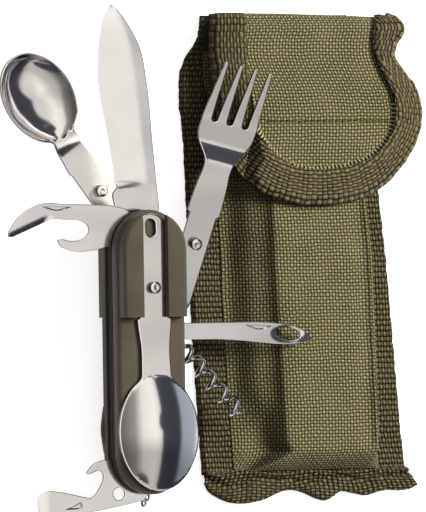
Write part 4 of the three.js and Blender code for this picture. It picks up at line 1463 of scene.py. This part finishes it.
def add_pouch():
    add_back()
    add_body()
    add_flap()
    side_tape("pouch_left_tape", LEFT_EDGE, LEFT_INNER, "left_binding", -46.5, 124.3)
    side_tape("pouch_right_tape", RIGHT_EDGE, RIGHT_INNER, "right_binding", -46.5, 124.0)
    add_bottom_tape()
    add_belt_loop()


# ------------------------------------------------------------------ studio

def add_floor():
    material, tree, shader = new_material("pale_floor")
    tone = ramp(tree, noise_of(tree, 3.0, 2.0), [(0.3, (0.46, 0.46, 0.46)), (0.7, (0.50, 0.50, 0.50))])
    tree.links.new(tone, shader.inputs["Base Color"])
    shader.inputs["Roughness"].default_value = 0.9
    shader.inputs["Emission Color"].default_value = (1.0, 1.0, 1.0, 1.0)
    shader.inputs["Emission Strength"].default_value = 0.75
    reach = 6.0
    mesh = bpy.data.meshes.new("floor")
    mesh.from_pydata([(-reach, -reach, 0), (reach, -reach, 0), (reach, reach, 0), (-reach, reach, 0)],
                     [], [(0, 1, 2, 3)])
    mesh.materials.append(material)
    floor = bpy.data.objects.new("floor", mesh)
    below_table = 0.0004
    floor.location.z = -below_table
    bpy.context.scene.collection.objects.link(floor)


def add_world():
    """A bright studio that darkens to one side.

    A dark screen and two dark spots in it are there for the steel to reflect. Tones are given
    by angle from straight up, positive towards positive X.
    """
    widest = 1.6
    world = bpy.data.worlds.new("studio")
    bpy.context.scene.world = world
    world.use_nodes = True
    tree = world.node_tree
    background = tree.nodes["Background"]
    way = node(tree, "TexCoord").outputs["Generated"]
    apart = node(tree, "SeparateXYZ", {"Vector": way}).outputs
    lean = maths(tree, "ARCTAN2", apart[0], apart[2])
    share = node(tree, "MapRange", {"Value": lean, "From Min": -widest,
                                    "From Max": widest}).outputs["Result"]
    light = [(-1.3, 0.16), (-0.75, 0.35), (-0.45, 0.95), (0.12, 1.1), (0.33, 0.92), (0.395, 0.76)]
    dark = [(0.44, 0.07), (1.13, 0.055), (1.2, 0.48)]
    stops = [((angle + widest) / (2 * widest), (tone, tone * 0.985, tone * 0.96)) for angle, tone in light]
    stops += [((angle + widest) / (2 * widest), (tone * 0.85, tone * 0.95, tone * 1.15))
              for angle, tone in dark]
    colour = ramp(tree, share, stops)
    low_side = node(tree, "MapRange", {"Value": apart[1], "From Min": -0.45, "From Max": -0.05,
                                       "To Min": 0.55, "To Max": 1.0}).outputs["Result"]
    colour = node(tree, "VectorMath", {0: colour, "Scale": low_side}, operation="SCALE").outputs[0]
    spots = []
    for middle, near, far in (((-0.257, -0.903, 0.343), 0.95, 0.97), ((0.42, 0.225, 0.88), 0.984, 0.992)):
        towards = node(tree, "VectorMath", {0: way, 1: middle}, operation="DOT_PRODUCT").outputs["Value"]
        spots.append(node(tree, "MapRange", {"Value": towards, "From Min": near, "From Max": far},
                          interpolation_type="SMOOTHSTEP").outputs[0])
    darkness = maths(tree, "MAXIMUM", *spots)
    shaded = node(tree, "Mix", {0: darkness, 6: colour, 7: (0.05, 0.055, 0.07, 1.0)}, data_type="RGBA")
    tree.links.new(shaded.outputs[2], background.inputs["Color"])
    background.inputs["Strength"].default_value = 1.12


def add_light(name, position, target, size, power, tint=(1, 1, 1)):
    data = bpy.data.lights.new(name, "AREA")
    data.shape = "SQUARE"
    data.size = size
    data.energy = power
    data.color = tint
    lamp = bpy.data.objects.new(name, data)
    lamp.location = position
    lamp.rotation_euler = (Vector(target) - Vector(position)).to_track_quat("-Z", "Y").to_euler()
    lamp.visible_glossy = False
    bpy.context.scene.collection.objects.link(lamp)


CAMERA_WAY = Vector((-0.375, 0.0, 0.927)).normalized()
CAMERA_ROLL = math.radians(0.9)
CAMERA_DISTANCE = 3.0
VIEW_HEIGHT = 0.18964
VIEW_CENTRE = (28.17, 35.06, 0.0)


def add_camera():
    data = bpy.data.cameras.new("camera")
    data.sensor_fit = "VERTICAL"
    data.sensor_height = 24.0
    data.lens = data.sensor_height * CAMERA_DISTANCE / VIEW_HEIGHT
    data.clip_end = 50.0
    camera = bpy.data.objects.new("camera", data)
    right = Vector((CAMERA_WAY.z, 0.0, -CAMERA_WAY.x))
    up = Vector((0.0, 1.0, 0.0))
    turned_up = up * math.cos(CAMERA_ROLL) + right * math.sin(CAMERA_ROLL)
    turned_right = right * math.cos(CAMERA_ROLL) - up * math.sin(CAMERA_ROLL)
    basis = Matrix((turned_right, turned_up, CAMERA_WAY)).transposed().to_4x4()
    camera.matrix_world = Matrix.Translation(HANDLE @ Vector(VIEW_CENTRE)
                                             + CAMERA_WAY * CAMERA_DISTANCE) @ basis
    bpy.context.scene.collection.objects.link(camera)
    bpy.context.scene.camera = camera


# ------------------------------------------------------------------ the whole scene

finish_frame_nodes()
add_covers()
add_folding_tools()
add_utensils()
add_pouch()
add_floor()
add_world()
bpy.context.scene.view_settings.view_transform = "Standard"
add_light("key", (0.95, 0.4, 1.2), (0.03, 0.0, 0.0), 0.6, 85.0, (1.0, 0.985, 0.96))
add_camera()
